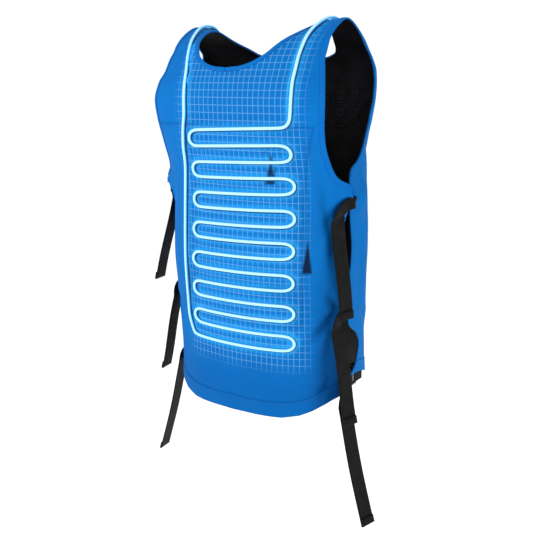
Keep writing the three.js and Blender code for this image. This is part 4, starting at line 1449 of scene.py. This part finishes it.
@dataclass
class Garment:
    """The two cloth panels with the lining, pocket, tapes, hems and stitches."""

    finishes: Finishes
    tube: CoolantTube
    tape_wide: float = 0.008
    neck_wide: float = 0.007
    free_end: float = 0.013
    end_share: float = 0.7
    tape_wall: float = 0.0009
    hem_wide: float = 0.026
    hem_wall: float = 0.0004
    hem_gap: float = 0.0002
    hem_column: int = 30
    pocket_wall: float = 0.0012
    pocket_low: float = 0.756
    pocket_high: float = 0.2489
    flap_low: float = 0.317
    flap_turn: float = 0.5
    stitch_pitch: float = 0.0034
    stitch_lift: float = 0.00015
    rim_step: float = 0.0035

    def __post_init__(self) -> None:
        """Lay out both panels on both sides."""
        self.sheets: dict[tuple[Facing, Side], Sheet] = {}
        self.trees: dict[Side, BVHTree] = {}
        for side in Side:
            halves = [
                Pattern(BACK, BACK_ROWS, hem=BACK_HEM).half(side),
                Pattern(FRONT, FRONT_ROWS, hem=FRONT_HEM, hem_corner=0.014, neck_floor=0.088).half(side),
            ]
            back, front = smooth_shoulder(*close_shoulder(*halves))
            self.sheets[Facing.BACK, side] = back
            self.sheets[Facing.FRONT, side] = front
            self.trees[side] = self.surface(back, front)
        self.stitch_lines: list[tuple[Array, Array]] = []

    def surface(self, back: Sheet, front: Sheet) -> BVHTree:
        """Return a search tree of one side's cloth, with x positive and faces outwards."""
        verts: list[Array] = []
        faces: list[tuple[int, ...]] = []
        for sheet, turned in ((back, True), (front, False)):
            faces += cells(*sheet.turn.shape, sum(len(v) for v in verts), turned)
            verts.append(sheet.points.reshape(-1, 3))
        return BVHTree.FromPolygons(np.concatenate(verts).tolist(), faces)

    def lights(self, sheet: Sheet) -> dict[str, Array]:
        """Return the tube's painted glow, its painted shade, the pale grid, the painted shade in the pocket's
        gaping slits, and the painted shade in the creases, low on the back and towards the right side, on a
        sheet.
        """
        points = sheet.points.copy()
        points[..., 0] *= sheet.side.value
        flat = points.reshape(-1, 3)
        light = LIGHT
        near = self.tube.distance(flat).reshape(sheet.turn.shape)
        shaded = self.tube.distance(flat, light.shade_shift).reshape(sheet.turn.shape)
        across, drop = sheet.cloth[..., 0], sheet.drop
        # Painted shade: darker in the creases' hollows, low on the back and towards the right side edge.
        hollow = -BACK.crease_height(sheet.turn, drop, sheet.side) / light.full_shade_depth
        fold = light.fold_dark * np.clip(hollow, 0, 1)
        fold += light.low_dark * smooth_step(drop, *light.low_drops)
        beside = smooth_step(-across, *light.side_reach)
        fold += light.side_shade * beside * smooth_step(drop, *light.side_drops)
        return {
            "glow": np.exp(-((np.maximum(near - light.glow_core, 0) / light.glow_fade) ** 2)),
            "shade": (1 - smooth_step(shaded, *light.shade_edge)) * smooth_step(near, *light.shade_start),
            "grid": window(across, *light.grid_across) * window(drop, *light.grid_drops),
            "opening": self.gap_shade_mask(sheet),
            "fold": np.clip(fold, 0, light.deepest_shade),
        }

    def gap_shade_mask(self, sheet: Sheet) -> Array:
        """Return the painted shade in the pocket's two gaping slits at each point."""
        if sheet.side is not Side.RIGHT:
            return 0 * sheet.turn
        across = sheet.points[..., 0]
        z = -sheet.drop * BACK_LENGTH
        dark = 0 * across
        for gape in GAPES:
            down = np.clip((gape.top - z) / (gape.top - gape.low), 0, 1)
            inside = (z < gape.top) & (z > gape.low - 0.003)
            off = np.abs(across - gape.x + gape.lean * gape.wide * down)
            depth = smooth_step(gape.wide * down**0.9 / 2 - off, -0.0010, 0.0016)
            dark = np.maximum(dark, np.where(inside, depth, 0))
        return dark

    def stitched(self, points: Array, normals: Array, side: Side) -> None:
        """Note a line for stitches, given on the half where x is positive."""
        line, up = points.copy(), normals.copy()
        line += up * self.stitch_lift
        line[:, 0] *= side.value
        up[:, 0] *= side.value
        self.stitch_lines.append((line, up))

    def skin(
        self, name: str, facing: Facing, lift: float, with_lights: bool = False, quilt: bool = False
    ) -> Object:
        """Return both halves of a panel as one skin.

        Args:
            name: The object's name.
            facing: Which panel.
            lift: Metres out of the surface.
            with_lights: Whether the tube's light and the grid are worked out on it.
            quilt: Whether it carries the lining's quilting.

        Returns:
            The skin's object.
        """
        maker = MeshMaker(name)
        for side in Side:
            sheet = self.sheets[facing, side]
            normals = grid_normals(sheet.points, facing)
            normals[:, 0, 0] = np.where(sheet.points[:, 0, 0] < 1e-5, 0, normals[:, 0, 0])
            points = sheet.points + normals * lift
            extra = self.lights(sheet) if with_lights else {}
            if quilt:
                extra = {"quilt": window(sheet.drop, *QUILTED)}
            maker.grid(points, sheet.cloth, side, facing, extra)
        return maker.build()

    def panels(self) -> None:
        """Build the two outer panels and the front's lining."""
        finishes = self.finishes
        back = self.skin("back_cloth", Facing.BACK, 0.0, with_lights=True)
        clad(back, CLOTH_WALL, "blue_cloth", "back_panel", finishes.lit_cloth, finishes.inner)
        front = self.skin("front_cloth", Facing.FRONT, 0.0)
        clad(front, CLOTH_WALL, "blue_cloth", "front_panel", finishes.cloth)
        lining = self.skin("front_lining_cloth", Facing.FRONT, -CLOTH_WALL - LAYER_GAP, quilt=True)
        clad(lining, LINING_WALL, "black_lining", "front_lining", finishes.lining)
        self.cloths = {"back": back, "front": front, "lining": lining}

    def rim(self, side: Side, column: int, limits: Pair) -> Array:
        """Return the edge of an armhole or the neckline, from the back over the shoulder to the front.

        Args:
            side: The vest's side.
            column: 0 for the neckline, -1 for the armhole.
            limits: How low it starts on the back and ends on the front, as shares of the length.

        Returns:
            Evenly spaced points with x positive.
        """
        halves = []
        for facing, limit in zip((Facing.BACK, Facing.FRONT), limits):
            sheet = self.sheets[facing, side]
            rows = np.argmax((sheet.drop[:, column] < limit) & ((sheet.turn[:, 0] > 1e-4) | (column != 0)))
            halves.append(sheet.points[max(rows - (column == 0), 0):, column])
        line = np.concatenate([halves[0], halves[1][::-1][1:]])
        return relax(resample(line, int(lengths_along(line)[-1] / self.rim_step)), 4)

    def laid(self, points: Array, side: Side, lift: Numbers) -> tuple[Array, Array]:
        """Return points moved onto the cloth and lifted off it, with the normals there.

        Args:
            points: Points near the cloth, with x positive.
            side: The side whose cloth they lie on.
            lift: Metres off the cloth.

        Returns:
            The moved points and the normals.
        """
        flat = points.reshape(-1, 3)
        found = np.zeros_like(flat)
        normals = np.zeros_like(flat)
        for i, point in enumerate(flat):
            place, normal, *_ = self.trees[side].find_nearest(Vector(point))
            found[i], normals[i] = place, normal
        shape = points.shape
        found, normals = found.reshape(shape), normals.reshape(shape)
        return found + normals * np.asarray(lift)[..., None], normals

    def offset(self, line: Array, side: Side, inwards: Direction, distance: float) -> Array:
        """Return a line moved sideways over the cloth.

        Args:
            line: Points on the cloth, with x positive.
            side: The side whose cloth they lie on.
            inwards: Says for each point which way lies inwards.
            distance: How far, in metres.

        Returns:
            The moved line.
        """
        _, normals = self.laid(line + inwards(line) * 0.002, side, 0.0)
        along = np.gradient(line, axis=0)
        across = unit(np.cross(normals, along))
        across *= np.sign(np.sum(across * inwards(line), axis=1, keepdims=True))
        return line + relax(across, 6) * distance

    def tape(
        self, maker: MeshMaker, line: Array, side: Side, inwards: Direction, wide: float
    ) -> None:
        """Add a rounded tape along an edge, with a line of stitches near its inner edge.

        Args:
            maker: The mesh that it goes into.
            line: The edge, with x positive.
            side: The vest's side.
            inwards: Says for each point which way lies inwards.
            wide: Its width in metres.
        """
        shares = np.array([-0.10, 0.0, 0.2, 0.5, 0.8, 1.0])
        lifts = np.array([-0.3, 0.75, 1.0, 1.0, 0.9, 0.35]) * self.tape_wall + LAYER_GAP
        columns = []
        for share, lift in zip(shares, lifts):
            moved = self.offset(line, side, inwards, max(share, 0) * wide)
            placed, _ = self.laid(moved, side, np.full(len(line), lift))
            if share <= 0:
                placed += (line - self.offset(line, side, inwards, 0.001)) * (0.3 - 3 * share)
            columns.append(placed)
        strip = np.stack(columns, 1)
        cloth = np.stack(np.broadcast_arrays((shares * wide)[None, :], lengths_along(line)[:, None]), -1)
        middle = len(strip) // 2
        test = np.cross(strip[middle + 1, 2] - strip[middle, 2], strip[middle, 3] - strip[middle, 2])
        _, out = self.laid(strip[middle:middle + 1, 2], side, 0.0)
        facing = Facing.BACK if float(test @ out[0]) > 0 else Facing.FRONT
        maker.grid(strip, cloth, side, facing)
        seam = self.offset(line, side, inwards, wide * 0.86)
        self.stitched(*self.laid(seam, side, np.full(len(line), self.tape_wall)), side)

    def tapes(self) -> None:
        """Build the tapes round the armholes and the neckline."""
        for side in Side:
            maker = MeshMaker(f"armhole_tape_{side.name.lower()}")
            line = self.rim(side, -1, (0.415, 0.372))
            self.tape(maker, line, side, self.from_arm, self.tape_wide)
            self.tape_end(line, side)
            node = f"armhole_binding_{side.name.lower()}"
            clad(maker.build(weld=0.00001), self.tape_wall * 0.6, "dark_blue_tape", node, self.finishes.tape)
        maker = MeshMaker("neck_tape")
        for side in Side:
            line = self.rim(side, 0, (0.2, 0.2))
            line[0, 0] = line[-1, 0] = 0.0
            self.tape(maker, line, side, self.from_neck, self.neck_wide)
        neck = maker.build(weld=0.0003)
        clad(neck, self.tape_wall * 0.6, "dark_blue_tape", "neck_binding", self.finishes.tape)

    def tape_end(self, line: Array, side: Side) -> None:
        """Build the free end of an armhole's tape, which runs on past the back panel's edge.

        Args:
            line: The armhole's edge, with x positive.
            side: The vest's side.
        """
        middle = self.offset(line, side, self.from_arm, self.tape_wide / 2)
        placed, normals = self.laid(middle[:8], side, 0.0)
        ahead = unit(placed[1] - placed[6])
        out = unit(normals[1] - ahead * (normals[1] @ ahead))
        steps = np.linspace(-0.003, self.free_end, 9)[:, None]
        way = placed[0] + ahead * steps + out * (0.0022 + 0.0015 * (steps / self.free_end).clip(0, 1))
        shares = np.linspace(-0.5, 0.5, 5) * self.tape_wide * self.end_share
        strip = way[:, None] + np.cross(ahead, out) * shares[None, :, None]
        maker = MeshMaker(f"tape_end_{side.name.lower()}")
        cloth = np.stack(np.broadcast_arrays(shares[None, :], steps), -1)
        maker.grid(strip, cloth, side, Facing.BACK)
        obj = thicken(dress(maker.build(), self.finishes.tape), self.tape_wall, offset=0.0)
        settle(obj, "dark_blue_tape")

    def from_arm(self, line: Array) -> Array:
        """Return the way from the armhole's middle to each point of its edge."""
        middle = np.array([0.190, 0.0, -0.125])
        bottom, corner, shoulder = -0.22, -0.20, -0.02
        z = line[:, 2]
        out = line - middle
        out[:, 0] = -0.10 * (z > bottom)
        out[:, 2] = np.where(z > corner, out[:, 2] * 0.3, -0.12)
        out[:, 1] = np.where(z > shoulder, 0.0, out[:, 1])
        return unit(out)

    def from_neck(self, line: Array) -> Array:
        """Return the way from the neck's middle to each point of its edge."""
        shoulder = -0.03
        z = np.where(line[:, 2] < shoulder, -0.08, 0.0)
        return unit(np.stack([np.maximum(line[:, 0], 0.0) + 1e-4, 0 * z, z], -1))

    def hems(self) -> None:
        """Build the turned-up hems with their stitch lines."""
        for facing in Facing:
            maker = MeshMaker(f"hem_{facing.name.lower()}")
            for side in Side:
                sheet = self.sheets[facing, side]
                normals = grid_normals(sheet.points, facing)
                normals[:, 0, 0] = 0
                column = sheet.points[:, self.hem_column]
                count = int(np.argmax(np.linalg.norm(column - column[0], axis=1) > self.hem_wide)) + 1
                part = sheet.part(slice(0, count), slice(None))
                points = part.points + normals[:count] * (self.hem_wall + self.hem_gap)
                lights = self.lights(part) if facing is Facing.BACK else None
                maker.grid(points, part.cloth, side, facing, lights)
                self.stitched(points[count - 2], normals[count - 2], side)
            finish = self.finishes.lit_cloth if facing is Facing.BACK else self.finishes.cloth
            clad(maker.build(), self.hem_wall, "blue_cloth", f"hem_band_{facing.name.lower()}", finish)

    def pocket(self) -> None:
        """Build the raised pocket on the back with its flap."""
        flap_end = POCKET_TURN * self.flap_turn
        for name, node, low_drop, end_turn, lift in (
            ("pocket_cloth", "back_pocket", self.pocket_low, POCKET_TURN, self.pocket_wall),
            ("flap_cloth", "pocket_flap", self.flap_low, flap_end, 2 * self.pocket_wall),
        ):
            maker = MeshMaker(name)
            for side in Side:
                sheet = self.sheets[Facing.BACK, side]
                rows = np.where((sheet.drop[:, 0] <= low_drop) & (sheet.drop[:, 0] >= self.pocket_high))[0]
                columns = int(np.sum(sheet.turn[rows[0]] <= end_turn + 1e-6))
                part = sheet.part(slice(rows[0], rows[-1] + 1), slice(0, columns))
                normals = grid_normals(sheet.points, Facing.BACK)[rows[0]:rows[-1] + 1, :columns]
                normals[:, 0, 0] = 0
                corner = self.rounded(part)
                points = part.points + normals * (LAYER_GAP + lift * corner[..., None])
                maker.grid(points, part.cloth, side, Facing.BACK, self.lights(part))
                for seam in ((slice(None), -2), 1, -2):
                    self.stitched(points[seam], normals[seam], side)
            clad(maker.build(), self.pocket_wall * 0.5, "blue_cloth", node, self.finishes.lit_cloth)

    def rounded(self, part: Sheet) -> Array:
        """Return how far up a patch stands at each point, falling away at its edges."""
        rows, columns = part.turn.shape
        down = np.minimum(np.arange(rows), np.arange(rows)[::-1])[:, None] / 2.0
        side = np.arange(columns)[::-1][None, :] / 2.0
        return np.clip(np.minimum(down, side), 0.35, 1.0)

    def stitches(self) -> None:
        """Build all stitches in the cloth."""
        obj = line_object("cloth_stitches", self.stitch_lines)
        RepeatTree("cloth stitches", self.finishes.thread).run(
            obj, pitch=self.stitch_pitch, length=0.0024, width=0.0007, height=0.0005
        )
        settle(obj, "blue_cloth")


# Straps and buckles

class Hang(NamedTuple):
    """How a tail hangs: how far down, how far out, how much it spreads, and its fold's size."""

    end: float
    reach: float
    spread: float
    bend: float


class StrapRow(NamedTuple):
    """One level of the side straps, with its place and how its two tails hang."""

    name: str
    drop: float
    right: Hang
    left: Hang


STRAPS = (
    StrapRow("upper", 0.432, Hang(0.722, 0.942, 0.100, 0.78), Hang(0.702, 0.900, 0.30, 0.30)),
    StrapRow("middle", 0.718, Hang(1.003, 0.945, 0.170, 0.66), Hang(0.972, 0.910, 0.26, 0.30)),
    StrapRow("lower", 0.922, Hang(1.283, 0.980, 0.228, 0.62), Hang(1.248, 0.925, 0.29, 0.30)),
)


class Fitting(NamedTuple):
    """Where a strap meets the solids: the edges beside it, its buckle's face and middle, and its tab."""

    front_edge: float
    back_edge: float
    face: float
    middle: float
    tab: float
    tab_ends: Pair


@dataclass
class StrapSet:
    """The six side straps with their buckles."""

    finishes: Finishes
    garment: Garment
    right_turn: float = math.radians(15)
    left_turn: float = math.radians(7)
    over: float = 0.0019
    pinch: float = 0.68
    end_fold: float = 0.014
    sewn: float = 0.034
    under: float = 0.0105
    behind: float = 0.0012
    buckle_reach: float = 0.017
    woven_share: float = 0.985
    hem_drop: float = 0.944

    def edge_y(self, facing: Facing, z: float, side: Side) -> float:
        """Return where a panel's side edge stands at a height."""
        edge = self.garment.sheets[facing, side].points[:, -1]
        return float(np.interp(z, edge[:, 2], edge[:, 1]))

    def outside(self, y: float, z: float, side: Side) -> float:
        """Return the back panel's reach at a place beside it."""
        drop = np.array([-z / BACK_LENGTH])
        turn = BACK.turn_at_stand(y / BACK_DEPTH, drop)
        return float(BACK.point(turn, drop, 0.0, side)[0, 0])

    def levels(self, row: StrapRow) -> list[float]:
        """Return the heights of a strap's lower edge, its middle and its upper edge."""
        return [-row.drop * BACK_LENGTH + k * WEB_WIDTH / 2 for k in (-1, 0, 1)]

    def fitting(self, row: StrapRow, side: Side) -> Fitting:
        """Return where a strap meets the panels, its buckle and its tab, with x positive."""
        front_edge = max(self.edge_y(Facing.FRONT, level, side) for level in self.levels(row))
        back_edge = min(self.edge_y(Facing.BACK, level, side) for level in self.levels(row))
        low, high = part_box(f"buckle_{row.name}_left")
        tab_low, tab_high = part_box(f"buckle_tab_{row.name}_left")
        tab = (tab_low[0] + tab_high[0]) / 2
        return Fitting(front_edge, back_edge, low[0], (low[1] + high[1]) / 2, tab, (tab_low[1], tab_high[1]))

    def stations(self, row: StrapRow, side: Side) -> tuple[list[Vector], list[Vector], list[bool]]:
        """Return a tail's middles, its directions across and whether each lies over the back panel.

        Args:
            row: The strap's level.
            side: The vest's side.

        Returns:
            Middles, directions, and flags, with x positive.
        """
        z = -row.drop * BACK_LENGTH
        fitting = self.fitting(row, side)
        hung = row.right if side is Side.RIGHT else row.left
        hang = hung.reach * HALF_WIDTH
        up = Vector((0, 0, 1))
        at = [Vector((fitting.tab, y, z)) for y in (fitting.middle + 0.002, fitting.front_edge + WEB_WALL)]
        across = [up, up * 0.9]
        edge_y = fitting.back_edge - 2 * WEB_WALL
        edge_x = max(hang, self.outside(edge_y, z, side) + self.over)
        at.append(Vector((edge_x, edge_y, z)))
        across.append(up * self.pinch)
        bend = WEB_WIDTH * hung.bend
        turn_y = fitting.back_edge + WEB_WALL
        steps = 10
        for i in range(steps + 1):
            angle = i / steps * math.pi / 2
            x = edge_x + (hang - edge_x) * i / steps
            at.append(Vector((x, turn_y + bend * math.sin(angle), z - bend * (1 - math.cos(angle)))))
            wide = self.pinch + (1 - self.pinch) * (i / steps) ** 2
            across.append(Vector((0, math.sin(angle), math.cos(angle))) * wide)
        top = at[-1]
        fall = top.z + hung.end * BACK_LENGTH
        turned = self.right_turn if side is Side.RIGHT else self.left_turn
        face = Vector((-math.sin(turned), math.cos(turned), 0))
        falls = 26
        for i in range(1, falls + 1):
            share = i / falls
            sway = 0.0016 * math.sin(share * 5.2 + row.drop * 9)
            x = hang + hung.spread * fall * share + sway
            at.append(Vector((x, top.y - 0.004 * share, top.z - fall * share)))
            across.append(face)
        return at, across, [False, False] + [True] * (len(at) - 2)

    def ribbon(
        self, name: str, at: Sequence[Vector], across: Sequence[Vector], over: Sequence[bool], side: Side
    ) -> Object:
        """Return a strap as a fine closed band.

        Args:
            name: The object's name.
            at: Middles along the strap.
            across: Directions across it.
            over: Whether each station is held off the back panel.
            side: The vest's side.

        Returns:
            The object.
        """
        columns = 9
        shares = np.arange(columns) / (columns - 1) - 0.5
        points = np.zeros((len(at), columns, 3))
        for i, (middle, way, held) in enumerate(zip(at, across, over)):
            for j, share in enumerate(shares.tolist()):
                place = middle + way * (share * WEB_WIDTH * self.woven_share)
                x = place.x
                if held and -place.z < BACK_LENGTH * self.hem_drop:
                    x = max(x, self.outside(place.y, place.z, side) + self.over)
                points[i, j] = (x, place.y, place.z)
        length = lengths_along(points[:, columns // 2])
        cloth = np.stack(np.broadcast_arrays((shares * WEB_WIDTH)[None, :], length[:, None]), -1)
        maker = MeshMaker(name)
        maker.grid(points, cloth, side, Facing.BACK)
        obj = maker.build()
        thicken(obj, WEB_WALL, offset=0.0)
        return dress(obj, self.finishes.webbing)

    def tail(self, row: StrapRow, side: Side) -> None:
        """Build one hanging tail with its folded end."""
        label = f"{row.name}_{side.name.lower()}"
        at, across, over = self.stations(row, side)
        obj = self.ribbon(f"tail_{label}", at, across, over, side)
        settle(obj, "black_webbing", f"strap_tail_{label}")
        self.length(at)
        down = (at[-1] - at[-2]).normalized()
        face = across[-1].cross(down).normalized() * (-1)
        start = at[-1] - down * self.end_fold
        fold_at = [start + down * (self.end_fold * i / 4) + face * (WEB_WALL * 1.25) for i in range(5)]
        fold = self.ribbon(f"end_fold_{label}", fold_at, [across[-1]] * 5, [False] * 5, side)
        settle(fold, "black_webbing")

    def length(self, at: Sequence[Vector]) -> float:
        """Return the length of a way."""
        return sum((b - a).length for a, b in zip(at, at[1:]))

    def smooth_way(self, marks: Sequence[Sequence[float]], step: float = 0.003) -> list[Vector]:
        """Return even points along a way through marks, with its corners rounded."""
        line = np.array(marks)
        way = relax(resample(line, max(4, round(lengths_along(line)[-1] / step))), 4)
        return [Vector(point) for point in way]

    def short_straps(self, row: StrapRow, side: Side) -> None:
        """Build the anchor, sewn inside the back, and the tab, sewn inside the front."""
        label = f"{row.name}_{side.name.lower()}"
        z = -row.drop * BACK_LENGTH
        fitting = self.fitting(row, side)
        marks = []
        for share in (1, 0.5, 0):
            y = fitting.back_edge + 2 * WEB_WALL + share * self.sewn
            marks.append((min(self.outside(y, level, side) for level in self.levels(row)) - self.under, y, z))
        reach = fitting.face - self.behind
        bend_y = max(fitting.middle + self.buckle_reach, fitting.front_edge) + WEB_WALL
        marks += [(reach, bend_y, z), (reach, fitting.middle, z)]
        tab = [(fitting.tab, y, z) for y in fitting.tab_ends]
        for name, node, way in (("anchor", "strap_anchor", marks), ("tab", "buckle_tab", tab)):
            at = self.smooth_way(way)
            obj = self.ribbon(f"{name}_{label}", at, [Vector((0, 0, 1))] * len(at), [False] * len(at), side)
            settle(obj, "black_webbing", f"{node}_{label}")
            cloth = "back_cloth" if name == "anchor" else "front_cloth"
            self.length(at)

    def buckle(self, row: StrapRow, side: Side) -> None:
        """Build one ladder buckle with its ribbed bars."""
        label = f"{row.name}_{side.name.lower()}"
        low, high = (Vector(corner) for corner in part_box(f"buckle_{label}"))
        centre = (low + high) / 2
        half = (high - low) / 2
        work = bmesh.new()

        def block(y: float, z: float, *size: float) -> None:
            """Add a block of a size at a place beside the buckle's centre."""
            for vert in bmesh.ops.create_cube(work, size=1.0)["verts"]:
                vert.co = Vector((vert.co.x * size[0], y + vert.co.y * size[1], z + vert.co.z * size[2]))

        rail, bar, ribs = 0.0025, 0.002, 9
        for y, z, long, tall in (
            (0, half.z - rail, half.y, rail), (0, -half.z + rail, half.y, rail),
            (half.y - bar, 0, bar, half.z), (-half.y + bar, 0, bar, half.z), (0, 0, bar, half.z - 0.001),
        ):
            block(y, z, 2 * half.x * 0.86, 2 * long * 0.98, 2 * tall * 0.98)
        for i in range(ribs):
            z = -half.z + 0.006 + (2 * half.z - 0.012) * i / (ribs - 1)
            block(half.y - 0.0045, z, 2 * half.x * 0.98, 0.007, 0.0022)
        bmesh.ops.translate(work, verts=work.verts, vec=centre)
        mesh = bpy.data.meshes.new(f"buckle_body_{label}")
        work.to_mesh(mesh)
        work.free()
        obj = add_object(f"buckle_body_{label}", mesh)
        remesh = obj.modifiers.new("join", "REMESH")
        remesh.mode = "VOXEL"
        remesh.voxel_size = 0.0007
        smooth(apply_modifiers(obj).data)
        dress(obj, self.finishes.plastic)
        settle(obj, "black_plastic", f"buckle_{label}")

    def build(self) -> None:
        """Build every strap."""
        for row in STRAPS:
            for side in Side:
                self.tail(row, side)
                self.short_straps(row, side)
                self.buckle(row, side)


# Camera, light and floor

@dataclass
class Studio:
    """Camera of the photograph, pale floor and soft light."""

    place: tuple[float, float, float] = (-0.78827, 1.21702, -0.095)
    lens: float = 53.83
    pitch: float = math.radians(13.19)
    away: float = math.radians(33)
    floor: float = -1.35
    surround: float = 0.55
    backdrop: float = 1.05

    def camera(self) -> None:
        """Place the camera behind and to the right of the vest."""
        data = bpy.data.cameras.new("camera")
        data.lens = self.lens
        data.sensor_width = 36
        obj = add_object("camera", data)
        level = math.cos(self.pitch)
        ahead = Vector((math.sin(self.away) * level, -math.cos(self.away) * level, -math.sin(self.pitch)))
        obj.location = self.place
        obj.rotation_euler = ahead.to_track_quat("-Z", "Y").to_euler()
        bpy.context.scene.camera = obj

    def ground(self) -> None:
        """Lay the pale floor."""
        mesh = bpy.data.meshes.new("floor")
        size = 14
        corners = [(size * x, size * y, self.floor) for x, y in ((-1, -1), (1, -1), (1, 1), (-1, 1))]
        mesh.from_pydata(corners, [], [(0, 1, 2, 3)])
        obj = add_object("floor", mesh)
        shader = Shader("pale floor")
        shader.set(Base_Color=(0.95, 0.95, 0.95, 1), Roughness=0.9, Specular_IOR_Level=0.0)
        shader.set(Emission_Color=(1, 1, 1, 1), Emission_Strength=0.5)
        dress(obj, shader.material)

    def lamp(
        self, name: str, place: Sequence[float], aim: Sequence[float], size: float, power: float
    ) -> None:
        """Add one soft area lamp.

        Args:
            name: Its name.
            place: Where it stands.
            aim: Where it points.
            size: Its edge in metres.
            power: Its power in watts.
        """
        data = bpy.data.lights.new(name, "AREA")
        data.size = size
        data.energy = power
        obj = add_object(name, data)
        obj.location = place
        obj.rotation_euler = (Vector(aim) - Vector(place)).to_track_quat("-Z", "Y").to_euler()

    def lights(self) -> None:
        """Add the lamps and the white surround."""
        world = bpy.data.worlds.new("surround")
        world.use_nodes = True
        nodes, links = world.node_tree.nodes, world.node_tree.links
        seen, around = nodes["Background"], nodes.new("ShaderNodeBackground")
        for background, strength in ((seen, self.backdrop), (around, self.surround)):
            background.inputs[0].default_value = (1, 1, 1, 1)
            background.inputs[1].default_value = strength
        path = nodes.new("ShaderNodeLightPath")
        choice = nodes.new("ShaderNodeMixShader")
        links.new(path.outputs["Is Camera Ray"], choice.inputs[0])
        links.new(around.outputs[0], choice.inputs[1])
        links.new(seen.outputs[0], choice.inputs[2])
        links.new(choice.outputs[0], nodes["World Output"].inputs[0])
        bpy.context.scene.world = world
        bpy.context.scene.view_settings.view_transform = "Standard"
        middle = (0.0, 0.0, -0.35)
        self.lamp("key", (0.9, 2.0, 0.9), middle, 1.2, 26)
        self.lamp("fill", (-2.2, 0.9, 0.3), middle, 1.6, 12)
        self.lamp("front", (0.4, -2.2, 0.8), middle, 1.6, 10)

    def build(self) -> None:
        """Build the whole setting."""
        self.camera()
        self.ground()
        self.lights()


def make_finishes() -> Finishes:
    """Return all finishes."""
    return Finishes(
        lit_cloth=BlueCloth(name="lit blue cloth", lit=True).build(),
        cloth=BlueCloth().build(),
        tape=BlueCloth(name="blue tape", color=(0.002, 0.165, 0.570, 1)).build(),
        lining=BlackLining().build(),
        inner=BlackLining(name="inner face", quilted=False).build(),
        webbing=BlackWebbing().build(),
        plastic=BlackPlastic().build(),
        tube=PaleTube().build(),
        thread=Thread().build(),
        # A dark strip of painted shadow under the tube.
        tube_shadow=Thread(name="dark welt", color=(0.006, 0.060, 0.230, 1)).build(),
    )


def main() -> None:
    """Build the studio and every piece."""
    logging.basicConfig(level=logging.INFO, format="%(message)s")
    Studio().build()
    finishes = make_finishes()
    tube = CoolantTube()
    garment = Garment(finishes, tube)
    garment.panels()
    garment.tapes()
    garment.hems()
    garment.pocket()
    garment.stitches()
    tube.build(finishes.tube, finishes.tube_shadow)
    StrapSet(finishes, garment).build()


if __name__ == "__main__":
    main()
